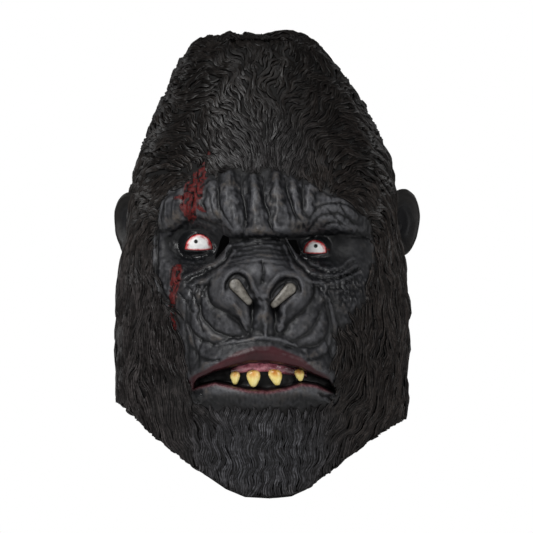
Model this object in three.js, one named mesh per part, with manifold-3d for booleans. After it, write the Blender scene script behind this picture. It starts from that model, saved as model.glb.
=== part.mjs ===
// A gorilla head mask: one hollow latex skin that is pulled over the whole head, with painted eyes, a gum,
// four teeth set in it and a pad in each nostril.
// Millimetres. +Z is up, -Y is the way the face looks and +X is on the right of someone who faces it.
// The origin is the inside of the crown, where the top of a head or a stand carries the mask.
import * as THREE from "three";
import { mergeVertices } from "three/addons/utils/BufferGeometryUtils.js";
import Module from "manifold-3d";

const wasm = await Module();
wasm.setup();

// Driving dimensions
const mask_height = 400; // inside of the crown to the lowest point of the front rim
const half_width = 127; // midline to the hair at the side of the head
const face_reach = 98; // vertical axis of the head to the plane of the face
const back_reach = 127; // vertical axis to the back of the head
const muzzle_reach = 38; // how far the muzzle stands out of the plane of the face
const brow_reach = 13; // how far the brow stands out of that plane
const nose_reach = 12; // how far the nose stands out of the top of the muzzle
const socket_depth = 17; // how far the eye sockets go in
const nostril_depth = 8;
const mouth_depth = 14; // floor of the open mouth behind the lips
const lip_reach = 6; // how far each lip stands out of the muzzle
const fold_depth = 5.5; // furrows of the brow and creases of the cheeks
const fold_rise = 4; // bags of skin below the eyes
const philtrum_depth = 4;
const wall = 2.4; // latex
const clearance = 0.3; // between a set-in piece and the latex that holds it

// Eyes: the lid ball, the half-moon opening in it and the painted eye that fills the opening. The ball's radius and
// the opening's width, height and sag are shares of eye_width.
const eye_width = 24;
const eyes = [
  { name: "eye_left", across: -0.434, drop: 0.455, ball: 0.73, width: 1.0, height: 0.542, sag: 0.05 },
  { name: "eye_right", across: 0.358, drop: 0.464, ball: 0.688, width: 0.854, height: 0.45, sag: 0.042 },
];
const ball_bury = 12; // centre of a lid ball behind the floor of its socket
const eye_thick = 4.5;
const eye_sunk = 0.8; // front of the painted eye behind the lids
const lid_line = 0.25; // share of the eye's height that lies below the centre of the ball

// Sight slots beside the eyes, as outlines of across and up about a middle, in shares of their height
const slot_height = 21;
const slots = [
  {
    across: -0.268, drop: 0.459,
    outline: [
      [0.0, 0.5], [0.26, 0.38], [0.26, 0.18], [0.0, -0.17],
      [-0.32, -0.52], [-0.33, -0.4], [-0.2, -0.06], [-0.13, 0.25],
    ],
  },
  {
    across: 0.213, drop: 0.459,
    outline: [[-0.26, 0.28], [0.1, 0.3], [0.24, -0.06], [0.28, -0.36], [0.06, -0.2], [-0.15, 0.1]],
  },
];

// Teeth hang from the gum. width and length are shares of the named sizes, and lean is how far the tip moves to
// the side as a share of the tooth's width.
const tooth_width = 12.2;
const tooth_length = 14.8;
const tooth_thick = 6.5;
const tooth_sides = 10;
const teeth = [
  { name: "tooth_1", across: -0.185, drop: 0.727, width: 0.705, length: 0.77, lean: 0.0 },
  { name: "tooth_2", across: -0.061, drop: 0.724, width: 1.0, length: 1.0, lean: 0.0 },
  { name: "tooth_3", across: 0.079, drop: 0.722, width: 0.984, length: 0.966, lean: 0.22 },
  { name: "tooth_4", across: 0.244, drop: 0.722, width: 0.721, length: 0.716, lean: 0.2 },
];
const gum_left = -0.215; // ends of the gum, as shares across
const gum_right = 0.3;
const gum_height = 9.5; // below the upper edge of the mouth
const gum_front = 6; // front of the gum out of the mouth's floor
const gum_round = 3; // rounding of its front
const gum_back = 5; // back of the gum behind that floor, so that it fills its hole in the latex
const tooth_sink = 2.2; // middle of a tooth behind the front of the gum

// Pads in the nostrils: from the wide upper end to the narrow lower end
const pad_wide = 5.4; // radius at the upper end
const pad_narrow = 3.1;
const pad_out = 2.2; // how far a pad's middle stands off the nostril's floor
const pad_thick = 7;
const pads = [
  { name: "nostril_pad_left", from: [-0.185, 0.54], to: [-0.092, 0.576] },
  { name: "nostril_pad_right", from: [0.188, 0.549], to: [0.078, 0.582] },
];

// Ears, moulded in one with the skin
const ear_height = 58;
const ear_deep = 44; // front to back
const ear_thick = 13;
const ear_dish = 7; // hollow of the ear
const ear_turn = 48; // degrees that the ear's hollow is turned towards the front
const ears = [
  { side: -1, out: -1.5, drop: 0.411, back: 8 },
  { side: 1, out: 6, drop: 0.405, back: 8 },
];

// Sections of the head from the crown down. drop is a share of the whole height, wide of half_width, front of
// face_reach, and middle and back of back_reach. middle is where the section is widest, and lean is how far the
// section is moved to the side, as a share of half_width.
const sections = [
  { drop: 0.0, wide: 0.0, front: -0.163, middle: 0.126, back: 0.126, lean: -0.03 },
  { drop: 0.0025, wide: 0.173, front: 0.061, middle: 0.126, back: 0.315, lean: -0.03 },
  { drop: 0.0097, wide: 0.328, front: 0.245, middle: 0.126, back: 0.457, lean: -0.034 },
  { drop: 0.026, wide: 0.425, front: 0.367, middle: 0.12, back: 0.567, lean: -0.04 },
  { drop: 0.056, wide: 0.506, front: 0.49, middle: 0.11, back: 0.677, lean: -0.04 },
  { drop: 0.09, wide: 0.578, front: 0.592, middle: 0.1, back: 0.764, lean: -0.03 },
  { drop: 0.135, wide: 0.657, front: 0.684, middle: 0.09, back: 0.843, lean: -0.01 },
  { drop: 0.18, wide: 0.736, front: 0.765, middle: 0.08, back: 0.898, lean: 0.0 },
  { drop: 0.23, wide: 0.805, front: 0.837, middle: 0.08, back: 0.945, lean: 0.004 },
  { drop: 0.28, wide: 0.862, front: 0.898, middle: 0.08, back: 0.976, lean: 0.007 },
  { drop: 0.33, wide: 0.895, front: 0.949, middle: 0.08, back: 0.992, lean: 0.007 },
  { drop: 0.38, wide: 0.905, front: 0.99, middle: 0.08, back: 1.0, lean: 0.005 },
  { drop: 0.44, wide: 0.928, front: 1.0, middle: 0.08, back: 0.992, lean: 0.0 },
  { drop: 0.5, wide: 0.964, front: 1.0, middle: 0.08, back: 0.969, lean: 0.0 },
  { drop: 0.575, wide: 0.984, front: 0.99, middle: 0.08, back: 0.929, lean: 0.0 },
  { drop: 0.65, wide: 0.986, front: 0.975, middle: 0.08, back: 0.882, lean: 0.0 },
  { drop: 0.725, wide: 0.988, front: 0.955, middle: 0.08, back: 0.843, lean: -0.004 },
  { drop: 0.8, wide: 0.98, front: 0.925, middle: 0.08, back: 0.811, lean: -0.006 },
  { drop: 0.875, wide: 0.945, front: 0.87, middle: 0.08, back: 0.787, lean: -0.004 },
  { drop: 0.95, wide: 0.885, front: 0.8, middle: 0.08, back: 0.772, lean: 0.0 },
  { drop: 1.03, wide: 0.785, front: 0.72, middle: 0.08, back: 0.756, lean: 0.0 },
];
const squareness = 2.35; // exponent of a section's rounded outline; 2 is an ellipse

// Rounded masses of the face: place and half sizes as shares of half_width (across, wide) and of the whole
// height (drop, tall), lift as a share of the named reach, edge as how steeply it ends.
const masses = [
  { reach: brow_reach, across: 0.0, drop: 0.374, wide: 0.77, tall: 0.067, lift: 1.0, edge: 4 }, // brow
  { reach: brow_reach, across: -0.62, drop: 0.371, wide: 0.118, tall: 0.055, lift: 0.4, edge: 3 }, // its lobes
  { reach: brow_reach, across: 0.55, drop: 0.379, wide: 0.189, tall: 0.042, lift: 0.4, edge: 3 },
  { reach: nose_reach, across: 0.0, drop: 0.468, wide: 0.16, tall: 0.055, lift: 0.6, edge: 3 }, // bridge
  { reach: -socket_depth, across: -0.44, drop: 0.458, wide: 0.22, tall: 0.056, lift: 1.0, edge: 4 }, // sockets
  { reach: -socket_depth, across: 0.37, drop: 0.466, wide: 0.228, tall: 0.051, lift: 1.0, edge: 4 },
  { reach: brow_reach, across: -0.63, drop: 0.54, wide: 0.205, tall: 0.1, lift: 0.45, edge: 3 }, // cheeks
  { reach: brow_reach, across: 0.646, drop: 0.54, wide: 0.205, tall: 0.1, lift: 0.45, edge: 3 },
  { reach: muzzle_reach, across: 0.0, drop: 0.682, wide: 0.677, tall: 0.209, lift: 1.0, edge: 3 }, // muzzle
  { reach: nose_reach, across: 0.0, drop: 0.538, wide: 0.346, tall: 0.067, lift: 1.0, edge: 3.5 }, // nose
  { reach: nose_reach, across: -0.26, drop: 0.55, wide: 0.102, tall: 0.042, lift: 0.54, edge: 3 }, // its wings
  { reach: nose_reach, across: 0.26, drop: 0.55, wide: 0.102, tall: 0.042, lift: 0.54, edge: 3 },
  { reach: muzzle_reach, across: 0.0, drop: 0.838, wide: 0.354, tall: 0.07, lift: 0.2, edge: 3 }, // chin
];

// Folds, furrows and lips along a line of across and drop; wide is half the width as a share of half_width.
const lines = [
  // furrows of the brow
  { reach: -fold_depth, wide: 0.042, path: [[-0.13, 0.31], [-0.118, 0.37], [-0.115, 0.434]] },
  { reach: -fold_depth, wide: 0.038, path: [[0.008, 0.312], [0.03, 0.38], [0.07, 0.43]] },
  { reach: -fold_depth, wide: 0.038, path: [[0.15, 0.312], [0.19, 0.37], [0.3, 0.425]] },
  // bags below the eyes
  { reach: fold_rise, wide: 0.045, path: [[-0.22, 0.47], [-0.323, 0.503], [-0.449, 0.521], [-0.567, 0.526]] },
  {
    reach: fold_rise, wide: 0.045,
    path: [[0.197, 0.474], [0.276, 0.506], [0.409, 0.523], [0.535, 0.52], [0.606, 0.506]],
  },
  // creases of the cheeks
  {
    reach: -fold_depth, wide: 0.05,
    path: [[-0.37, 0.558], [-0.409, 0.597], [-0.37, 0.625], [-0.283, 0.642], [-0.181, 0.655]],
  },
  { reach: -fold_depth, wide: 0.05, path: [[0.37, 0.563], [0.441, 0.62], [0.409, 0.65], [0.307, 0.663]] },
  // grooves beside the septum
  { reach: -philtrum_depth, wide: 0.038, path: [[-0.055, 0.59], [-0.071, 0.632]] },
  { reach: -philtrum_depth, wide: 0.038, path: [[0.071, 0.594], [0.094, 0.632]] },
  // nostrils
  { reach: -nostril_depth, wide: 0.07, path: [[-0.189, 0.538], [-0.087, 0.578]] },
  { reach: -nostril_depth, wide: 0.07, path: [[0.189, 0.548], [0.079, 0.583]] },
  // lips
  {
    reach: lip_reach, wide: 0.065,
    path: [
      [-0.47, 0.74], [-0.32, 0.71], [-0.2, 0.698], [-0.06, 0.684], [0.04, 0.684], [0.19, 0.694], [0.34, 0.715],
      [0.48, 0.74],
    ],
  },
  {
    reach: lip_reach, wide: 0.06,
    path: [
      [-0.45, 0.776], [-0.32, 0.768], [-0.2, 0.775], [-0.08, 0.784], [0.03, 0.787], [0.15, 0.782],
      [0.264, 0.77], [0.363, 0.773], [0.48, 0.787],
    ],
  },
];

// Upper and lower edge of the open mouth, and how the rows of the mesh run on past its corners to the cheeks.
const mouth_left = -0.47;
const mouth_right = 0.5;
const mouth_top = [
  [-0.9, 0.69], [mouth_left, 0.752], [-0.44, 0.738], [-0.32, 0.721], [-0.2, 0.711], [-0.094, 0.7025],
  [0.055, 0.7025], [0.154, 0.708], [0.246, 0.7135], [0.346, 0.728], [0.456, 0.742], [mouth_right, 0.762],
  [0.9, 0.69],
];
const mouth_bottom = [
  [-0.9, 0.72], [mouth_left, 0.765], [-0.43, 0.76], [-0.32, 0.751], [-0.22, 0.758], [-0.1, 0.7665],
  [0.03, 0.769], [0.154, 0.763], [0.264, 0.752], [0.363, 0.756], [0.47, 0.772], [mouth_right, 0.775],
  [0.9, 0.72],
];
const mouth_edge = 3; // width of the lips' roll into the mouth

// The cut edge below, as drop for each share across: the front falls to a point at the chin.
const rim_front = [
  [-1.1, 0.786], [-0.962, 0.798], [-0.73, 0.867], [-0.442, 0.939], [-0.25, 0.98], [-0.12, 0.997], [0.05, 1.0],
  [0.2, 0.995], [0.3, 0.981], [0.476, 0.939], [0.668, 0.891], [0.82, 0.858], [0.95, 0.834], [1.1, 0.815],
];
const rim_back = [[-1.1, 0.786], [0, 0.775], [1.1, 0.815]];

// How finely the skin is faceted: columns by degrees from the front, rows by drop.
const columns = [
  { to: 31, steps: 11 },
  { to: 60, steps: 5 },
  { to: 110, steps: 4 },
  { to: 180, steps: 4 },
];
const crown_rows = 5; // rows that follow the first sections
const rows = [
  { to: 0.3, steps: 5 },
  { to: 0.43, steps: 5 },
  { to: 0.6, steps: 12 },
  { to: 0.72, steps: 6 },
  { to: 0.728, steps: 1 },
  { to: 0.762, steps: 2 },
  { to: 0.77, steps: 1 },
  { to: 1.0, steps: 5 },
];
const bend_drop = 0.66; // below this drop the rows bend to follow the mouth and the rim
const top_row = 0.72; // rows that follow the upper and the lower edge of the mouth
const bottom_row = 0.77;

const whole_height = mask_height + wall;
const radians = Math.PI / 180;
const heightAt = (drop) => wall - drop * whole_height;

// Value of a list of [x, y] pairs at x, joined by straight lines.
function along(pairs, x) {
  const last = pairs.length - 1;
  if (x <= pairs[0][0]) return pairs[0][1];
  for (let i = 1; i <= last; i++) {
    if (x > pairs[i][0]) continue;
    const t = (x - pairs[i - 1][0]) / (pairs[i][0] - pairs[i - 1][0]);
    return pairs[i - 1][1] * (1 - t) + pairs[i][1] * t;
  }
  return pairs[last][1];
}

function smoothStep(low, high, value) {
  const t = Math.min(1, Math.max(0, (value - low) / (high - low)));
  return t * t * (3 - 2 * t);
}

// One column of the section table at row s, which need not be whole, on a smooth curve through the rows.
function sectionValue(column, s) {
  const at = (k) => sections[Math.min(sections.length - 1, Math.max(0, k))][column];
  const i = Math.min(sections.length - 2, Math.floor(s));
  const t = s - i;
  const [a, b, c, d] = [at(i - 1), at(i), at(i + 1), at(i + 2)];
  const bend = 2 * a - 5 * b + 4 * c - d + t * (3 * b - a - 3 * c + d);
  return b + 0.5 * t * (c - a + t * bend);
}

// Row of the section table that lies at a drop.
function rowAt(drop) {
  let low = 0;
  let high = sections.length - 1;
  for (let k = 0; k < 40; k++) {
    const half = (low + high) / 2;
    if (sectionValue("drop", half) < drop) low = half;
    else high = half;
  }
  return (low + high) / 2;
}

// Point of the plain head, without its face, in a direction turned by angle from the front.
function headPoint(angle, s) {
  const wide = Math.max(1e-3, sectionValue("wide", s) * half_width);
  const middle = sectionValue("middle", s) * back_reach;
  const front = Math.max(1e-3, sectionValue("front", s) * face_reach + middle);
  const back = Math.max(1e-3, sectionValue("back", s) * back_reach - middle);
  const sine = Math.sin(angle);
  const cosine = Math.cos(angle);
  const deep = cosine > 0 ? front : back;
  const power = (value) => Math.pow(Math.abs(value), squareness);
  const radius = Math.pow(power(sine / wide) + power(cosine / deep), -1 / squareness);
  const lean = sectionValue("lean", s) * half_width;
  return new THREE.Vector3(lean + radius * sine, middle - radius * cosine, heightAt(sectionValue("drop", s)));
}

// Distance in the front view from a point to a line of shares.
function distanceTo(path, x, z) {
  let nearest = Infinity;
  for (let i = 1; i < path.length; i++) {
    const ax = path[i - 1][0] * half_width;
    const az = heightAt(path[i - 1][1]);
    const bx = path[i][0] * half_width - ax;
    const bz = heightAt(path[i][1]) - az;
    const t = Math.min(1, Math.max(0, ((x - ax) * bx + (z - az) * bz) / (bx * bx + bz * bz)));
    nearest = Math.min(nearest, Math.hypot(x - ax - t * bx, z - az - t * bz));
  }
  return nearest;
}

// How deep a point of the front view lies inside the mouth's outline, in millimetres; negative outside.
function insideMouth(x, z) {
  const share = x / half_width;
  const left = (share - mouth_left) * half_width;
  const right = (mouth_right - share) * half_width;
  return Math.min(heightAt(along(mouth_top, share)) - z, z - heightAt(along(mouth_bottom, share)), left, right);
}

// How far the face stands out of the plain head at a point of the front view.
function faceLift(x, z) {
  let lift = 0;
  for (const m of masses) {
    const across = (x - m.across * half_width) / (m.wide * half_width);
    const up = (z - heightAt(m.drop)) / (m.tall * whole_height);
    lift += m.reach * m.lift * Math.exp(-Math.pow(Math.hypot(across, up), m.edge));
  }
  for (const l of lines) {
    const share = distanceTo(l.path, x, z) / (l.wide * half_width);
    lift += l.reach * Math.exp(-share * share);
  }
  return lift - mouth_depth * smoothStep(0, mouth_edge, insideMouth(x, z));
}

// Depth of a lid ball's front at a point of the front view, or null beside the ball.
function ballDepth(eye, x, z) {
  const dx = x - eye.across * half_width;
  const dz = z - heightAt(eye.drop);
  const ball = eye.ball * eye_width;
  const under = ball * ball - dx * dx - dz * dz;
  return under <= 0 ? null : -face_reach + socket_depth + ball_bury - Math.sqrt(under);
}

// Point of the outer skin.
function skinPoint(angle, s) {
  const p = headPoint(angle, s);
  const facing = smoothStep(0.1, 0.45, Math.cos(angle));
  if (facing === 0) return p;
  p.y -= facing * faceLift(p.x, p.z);
  for (const eye of eyes) {
    const depth = ballDepth(eye, p.x, p.z);
    if (depth !== null) p.y = Math.min(p.y, depth);
  }
  return p;
}

// Point of the skin at a depth under its surface, found along the surface's normal.
function skinUnder(angle, s, depth) {
  const p = skinPoint(angle, s);
  if (depth === 0) return p;
  const turn = 0.012;
  const step = 0.03;
  const across = skinPoint(angle + turn, s).sub(skinPoint(angle - turn, s));
  const down = skinPoint(angle, s + step).sub(skinPoint(angle, s - step));
  const inward = down.cross(across).normalize();
  return p.addScaledVector(inward, depth);
}

// Depth of the outer skin's front at a point of the front view.
function frontAt(x, z) {
  const s = rowAt((wall - z) / whole_height);
  let low = -90 * radians;
  let high = 90 * radians;
  for (let k = 0; k < 40; k++) {
    const half = (low + high) / 2;
    if (headPoint(half, s).x < x) low = half;
    else high = half;
  }
  return skinPoint((low + high) / 2, s).y;
}

// Angles of the columns, once round the head.
function columnAngles() {
  const half = [0];
  for (const band of columns) {
    const from = half[half.length - 1];
    for (let k = 1; k <= band.steps; k++) half.push(from + ((band.to - from) * k) / band.steps);
  }
  const left = half.slice(1, -1).reverse().map((a) => -a);
  return [...left, ...half].map((a) => a * radians);
}

// Rows of the skin as drops, from the first below the crown's middle to the chin.
function rowDrops() {
  const drops = [];
  for (let k = 1; k <= crown_rows; k++) drops.push(sections[k].drop);
  for (const band of rows) {
    const from = drops[drops.length - 1];
    for (let k = 1; k <= band.steps; k++) drops.push(from + ((band.to - from) * k) / band.steps);
  }
  return drops;
}

// Drop at which one direction meets a line of [across, drop] pairs.
function dropOn(line, angle) {
  let drop = bend_drop;
  for (let k = 0; k < 25; k++) drop = along(line, headPoint(angle, rowAt(drop)).x / half_width);
  return drop;
}

// Drops of the mouth's edges and of the cut edge in one direction.
function guideDrops(angle) {
  if (Math.cos(angle) < 0) return [mouth_top[0][1], mouth_bottom[0][1], dropOn(rim_back, angle)];
  return [mouth_top, mouth_bottom, rim_front].map((line) => dropOn(line, angle));
}

// Row of the section table for a place in the mesh.
function meshRow(drop, [top, bottom, rim]) {
  return rowAt(along([[0, 0], [bend_drop, bend_drop], [top_row, top], [bottom_row, bottom], [1, rim]], drop));
}

const angles = columnAngles();
const drops = rowDrops();
const guides = angles.map(guideDrops);

// Rings of points at a depth under the skin, one ring for each row.
function skinRings(depth) {
  return drops.map((drop) => angles.map((angle, j) => skinUnder(angle, meshRow(drop, guides[j]), depth)));
}

// A closed body from rings that run from a first point to a last one.
function loft(first, rings, last) {
  const positions = [];
  const triangles = [];
  const add = (p) => positions.push(p.x, p.y, p.z) / 3 - 1;
  const start = add(first);
  const ids = rings.map((ring) => ring.map(add));
  const end = add(last);
  const count = rings[0].length;
  for (let j = 0; j < count; j++) {
    const k = (j + 1) % count;
    triangles.push(start, ids[0][j], ids[0][k]);
    for (let i = 1; i < ids.length; i++) {
      triangles.push(ids[i - 1][j], ids[i][j], ids[i][k], ids[i - 1][j], ids[i][k], ids[i - 1][k]);
    }
    triangles.push(end, ids[ids.length - 1][k], ids[ids.length - 1][j]);
  }
  return solid(new Float32Array(positions), new Uint32Array(triangles));
}

// A solid for joining and cutting, turned so that its faces point out.
function solid(vertProperties, triVerts) {
  const made = new wasm.Manifold(new wasm.Mesh({ numProp: 3, vertProperties, triVerts }));
  if (made.volume() > 0) return made;
  const turned = triVerts.slice();
  for (let i = 0; i < turned.length; i += 3) [turned[i + 1], turned[i + 2]] = [turned[i + 2], turned[i + 1]];
  return new wasm.Manifold(new wasm.Mesh({ numProp: 3, vertProperties, triVerts: turned }));
}

// A three.js geometry as a solid.
function solidOf(geometry) {
  geometry.deleteAttribute("normal");
  geometry.deleteAttribute("uv");
  const merged = mergeVertices(geometry, 1e-4);
  return solid(merged.attributes.position.array, new Uint32Array(merged.index.array));
}

// A named mesh of a solid.
function meshOf(name, made, material) {
  const { numProp, vertProperties, triVerts } = made.getMesh();
  const geometry = new THREE.BufferGeometry();
  const positions = new Float32Array((vertProperties.length / numProp) * 3);
  for (let i = 0; i < positions.length / 3; i++) {
    positions.set(vertProperties.subarray(i * numProp, i * numProp + 3), i * 3);
  }
  geometry.setAttribute("position", new THREE.BufferAttribute(positions, 3));
  geometry.setIndex(new THREE.BufferAttribute(triVerts, 1));
  geometry.computeVertexNormals();
  const mesh = new THREE.Mesh(geometry, material);
  mesh.name = name;
  return mesh;
}

// The latex wall: the outer rings joined to the inner rings round the cut edge.
function skinWall() {
  const outer = skinRings(0);
  const inner = skinRings(wall).reverse();
  const top = headPoint(0, 0);
  const under = top.clone().setZ(0);
  return loft(top, [...outer, ...inner], under);
}

// Everything inside the middle of the wall, to trim what stands on the skin.
function skinCore() {
  const rings = skinRings(wall / 2);
  return loft(headPoint(0, 0).setZ(wall / 2), rings, new THREE.Vector3(0, 0, heightAt(bend_drop)));
}

// An ear: a flat oval with a hollow in its outer face, wide above and narrow at the lobe.
function earSolid(ear) {
  const shape = new THREE.SphereGeometry(1, 14, 10);
  const place = shape.getAttribute("position");
  const at = headPoint((ear.side * Math.PI) / 2, rowAt(ear.drop));
  const turn = ear.side * (90 - ear_turn) * radians;
  for (let i = 0; i < place.count; i++) {
    const up = place.getZ(i);
    const deep = place.getX(i) * (0.82 + 0.18 * up);
    const rim = Math.hypot(place.getX(i), up);
    const hollow = place.getY(i) < 0 ? ear_dish * (1 - smoothStep(0.35, 0.85, rim)) : 0;
    const thick = (place.getY(i) * ear_thick) / 2 + hollow;
    const local = new THREE.Vector3((deep * ear_deep) / 2, thick, (up * ear_height) / 2);
    local.applyAxisAngle(new THREE.Vector3(0, 0, 1), turn);
    place.setXYZ(i, at.x + ear.side * ear.out + local.x, at.y + ear.back + local.y, at.z + local.z);
  }
  return solidOf(shape);
}

// A prism through the front wall with an outline of across and up in millimetres about a point.
function frontPrism(across, drop, outline) {
  const shape = new THREE.Shape(outline.map(([x, z]) => new THREE.Vector2(x, z)));
  const deep = face_reach + muzzle_reach;
  const prism = new THREE.ExtrudeGeometry(shape, { depth: deep, bevelEnabled: false });
  prism.rotateX(Math.PI / 2);
  prism.translate(across * half_width, -face_reach / 2, heightAt(drop));
  return solidOf(prism);
}

// Half-moon outline of an eye, grown by a margin: an arch above and a shallow sag below.
function eyeOutline(eye, grow) {
  const steps = 12;
  const points = [];
  const wide = (eye.width * eye_width) / 2 + grow;
  const high = eye.height * eye_width + grow;
  const low = eye.sag * eye_width + grow;
  const floor = -lid_line * eye.height * eye_width;
  for (let k = 0; k <= steps; k++) {
    const turn = (Math.PI * k) / steps;
    points.push([Math.cos(turn) * wide, floor + Math.sin(turn) * high]);
  }
  for (let k = 1; k < steps / 2; k++) {
    const turn = Math.PI + (2 * Math.PI * k) / steps;
    points.push([Math.cos(turn) * wide, floor + Math.sin(turn) * low]);
  }
  return points;
}

// A painted eye: a dome with the curve of its lid ball, as thick as eye_thick.
function eyeSolid(eye) {
  const outline = eyeOutline(eye, 0);
  const cx = eye.across * half_width;
  const cz = heightAt(eye.drop);
  const point = (share, x, z, deeper) => {
    const depth = ballDepth(eye, cx + x * share, cz + z * share) + eye_sunk + deeper;
    return new THREE.Vector3(cx + x * share, depth, cz + z * share);
  };
  const fronts = [0.35, 0.7, 1.0].map((share) => outline.map(([x, z]) => point(share, x, z, 0)));
  const backs = [1.0, 0.5].map((share) => outline.map(([x, z]) => point(share, x, z, eye_thick)));
  return loft(point(0, 0, 0, 0), [...fronts, ...backs], point(0, 0, 0, eye_thick));
}

// Ring of an oval bar that runs downwards.
function pegRing(middle, wide, thick, count) {
  const ring = [];
  for (let k = 0; k < count; k++) {
    const turn = (2 * Math.PI * k) / count;
    ring.push(new THREE.Vector3(middle.x + Math.cos(turn) * wide, middle.y + Math.sin(turn) * thick, middle.z));
  }
  return ring;
}

// Depth of the mouth's floor at a share across.
function mouthFloor(share) {
  return frontAt(share * half_width, heightAt((along(mouth_top, share) + along(mouth_bottom, share)) / 2));
}

// The gum grown by a margin: a bar along the upper edge of the mouth, rounded in front, that fills its hole in
// the mouth's floor and is bent to follow the muzzle.
function gumBody(grow) {
  const steps = 10;
  const front = gum_front + grow;
  const back = -gum_back - grow;
  const profile = [
    [back, 1], [front - gum_round, 1], [front - gum_round / 3, 0.78], [front, 0.3],
    [front, -0.3], [front - gum_round / 3, -0.78], [front - gum_round, -1], [back, -1],
  ];
  const rings = [];
  for (let k = 0; k <= steps; k++) {
    const t = (2 * k) / steps - 1;
    const share = (gum_left + gum_right) / 2 + ((gum_right - gum_left) / 2) * t;
    const swell = Math.sqrt(1 - 0.75 * Math.pow(t, 4));
    const middle = heightAt(along(mouth_top, share)) - gum_height / 2;
    const half = (gum_height / 2) * swell + grow;
    const floor = mouthFloor(share);
    const x = share * half_width + grow * t;
    rings.push(profile.map(([out, up]) => new THREE.Vector3(x, floor - out, middle + up * half)));
  }
  const middleOf = (ring) => ring.reduce((sum, p) => sum.add(p), new THREE.Vector3()).divideScalar(ring.length);
  return loft(middleOf(rings[0]), rings, middleOf(rings[steps]));
}

// A tooth grown by a margin: an oval peg, round at the gum and blunt at its tip.
function toothSolid(tooth, grow) {
  const x = tooth.across * half_width;
  const top = heightAt(tooth.drop) + 1;
  const depth = mouthFloor(tooth.across) - gum_front + tooth_sink - tooth_thick / 4;
  const width = tooth.width * tooth_width;
  const length = tooth.length * tooth_length;
  const profile = [[0.06, 0.6], [0.2, 0.92], [0.36, 1.0], [0.58, 0.86], [0.82, 0.58], [0.96, 0.36]];
  const at = (down) => {
    const lean = tooth.lean * width * down;
    return new THREE.Vector3(x + lean, depth, top - length * down + grow * (1 - 2 * down));
  };
  const ring = ([down, share]) => {
    return pegRing(at(down), (width / 2) * share + grow, (tooth_thick / 2) * share + grow, tooth_sides);
  };
  const rings = profile.map(ring);
  return loft(at(0), rings, at(1));
}

// Outline of a nostril pad, grown by a margin: round ends of two sizes joined by straight sides.
function padOutline(pad, grow) {
  const [ax, az] = [pad.from[0] * half_width, heightAt(pad.from[1])];
  const [bx, bz] = [pad.to[0] * half_width, heightAt(pad.to[1])];
  const way = Math.atan2(bz - az, bx - ax);
  const steps = 7;
  const points = [];
  for (let k = 0; k <= steps; k++) {
    const turn = way + Math.PI / 2 + (Math.PI * k) / steps;
    points.push([ax + Math.cos(turn) * (pad_wide + grow), az + Math.sin(turn) * (pad_wide + grow)]);
  }
  for (let k = 0; k <= steps; k++) {
    const turn = way - Math.PI / 2 + (Math.PI * k) / steps;
    points.push([bx + Math.cos(turn) * (pad_narrow + grow), bz + Math.sin(turn) * (pad_narrow + grow)]);
  }
  return points;
}

// A nostril pad: a domed plug that narrows downwards and lies along the floor of its nostril.
function padSolid(pad) {
  const outline = padOutline(pad, 0);
  const [mx, mz] = [0, 1].map((i) => outline.reduce((sum, p) => sum + p[i], 0) / outline.length);
  const ends = [pad.to, pad.from].map(([across, drop]) => {
    const z = heightAt(drop);
    return [z, frontAt(across * half_width, z)];
  });
  const point = (share, x, z, sunk) => {
    const up = mz + (z - mz) * share;
    return new THREE.Vector3(mx + (x - mx) * share, along(ends, up) - pad_out + sunk, up);
  };
  const ring = (share, sunk) => outline.map(([x, z]) => point(share, x, z, sunk));
  const rings = [ring(0.45, 0.25), ring(0.8, 1), ring(1, 2.4), ring(1, pad_thick)];
  return loft(point(0, mx, mz, 0), rings, point(0, mx, mz, pad_thick));
}

const latex = new THREE.MeshStandardMaterial({ color: 0x1b1b1d, roughness: 0.5, metalness: 0 });
const eye_paint = new THREE.MeshStandardMaterial({ color: 0xe8e8e6, roughness: 0.3, metalness: 0 });
const gum_paint = new THREE.MeshStandardMaterial({ color: 0x6d1f30, roughness: 0.25, metalness: 0 });
const tooth_paint = new THREE.MeshStandardMaterial({ color: 0xe2bb45, roughness: 0.35, metalness: 0 });
const pad_paint = new THREE.MeshStandardMaterial({ color: 0x7d7a72, roughness: 0.35, metalness: 0.2 });

function buildSkin() {
  let made = skinWall();
  const core = skinCore();
  for (const ear of ears) made = made.add(earSolid(ear).subtract(core));
  for (const slot of slots) {
    const outline = slot.outline.map(([x, z]) => [x * slot_height, z * slot_height]);
    made = made.subtract(frontPrism(slot.across, slot.drop, outline));
  }
  for (const eye of eyes) made = made.subtract(frontPrism(eye.across, eye.drop, eyeOutline(eye, clearance)));
  for (const pad of pads) made = made.subtract(frontPrism(0, wall / whole_height, padOutline(pad, clearance)));
  made = made.subtract(gumBody(clearance));
  for (const tooth of teeth) made = made.subtract(toothSolid(tooth, clearance));
  return made.decompose().reduce((best, body) => (body.volume() > best.volume() ? body : best));
}

const mask = new THREE.Group();
const skin = buildSkin();
mask.add(meshOf("mask_skin", skin, latex));
for (const eye of eyes) mask.add(meshOf(eye.name, eyeSolid(eye), eye_paint));
let gum = gumBody(0);
for (const tooth of teeth) gum = gum.subtract(toothSolid(tooth, clearance));
mask.add(meshOf("gum", gum, gum_paint));
for (const tooth of teeth) mask.add(meshOf(tooth.name, toothSolid(tooth, 0), tooth_paint));
for (const pad of pads) mask.add(meshOf(pad.name, padSolid(pad), pad_paint));

export default mask;
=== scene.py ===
"""A gorilla mask: a hollow latex skin with moulded hair, painted eyes, gum, teeth and grey nostrils.

Tables and functions work in millimetres about the frame's origin, the inside of the crown. across is to the
right of someone who faces the mask, and down is below the crown. Shares are of HALF_WIDTH across and of
WHOLE_HEIGHT down.
"""

import math

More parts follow.
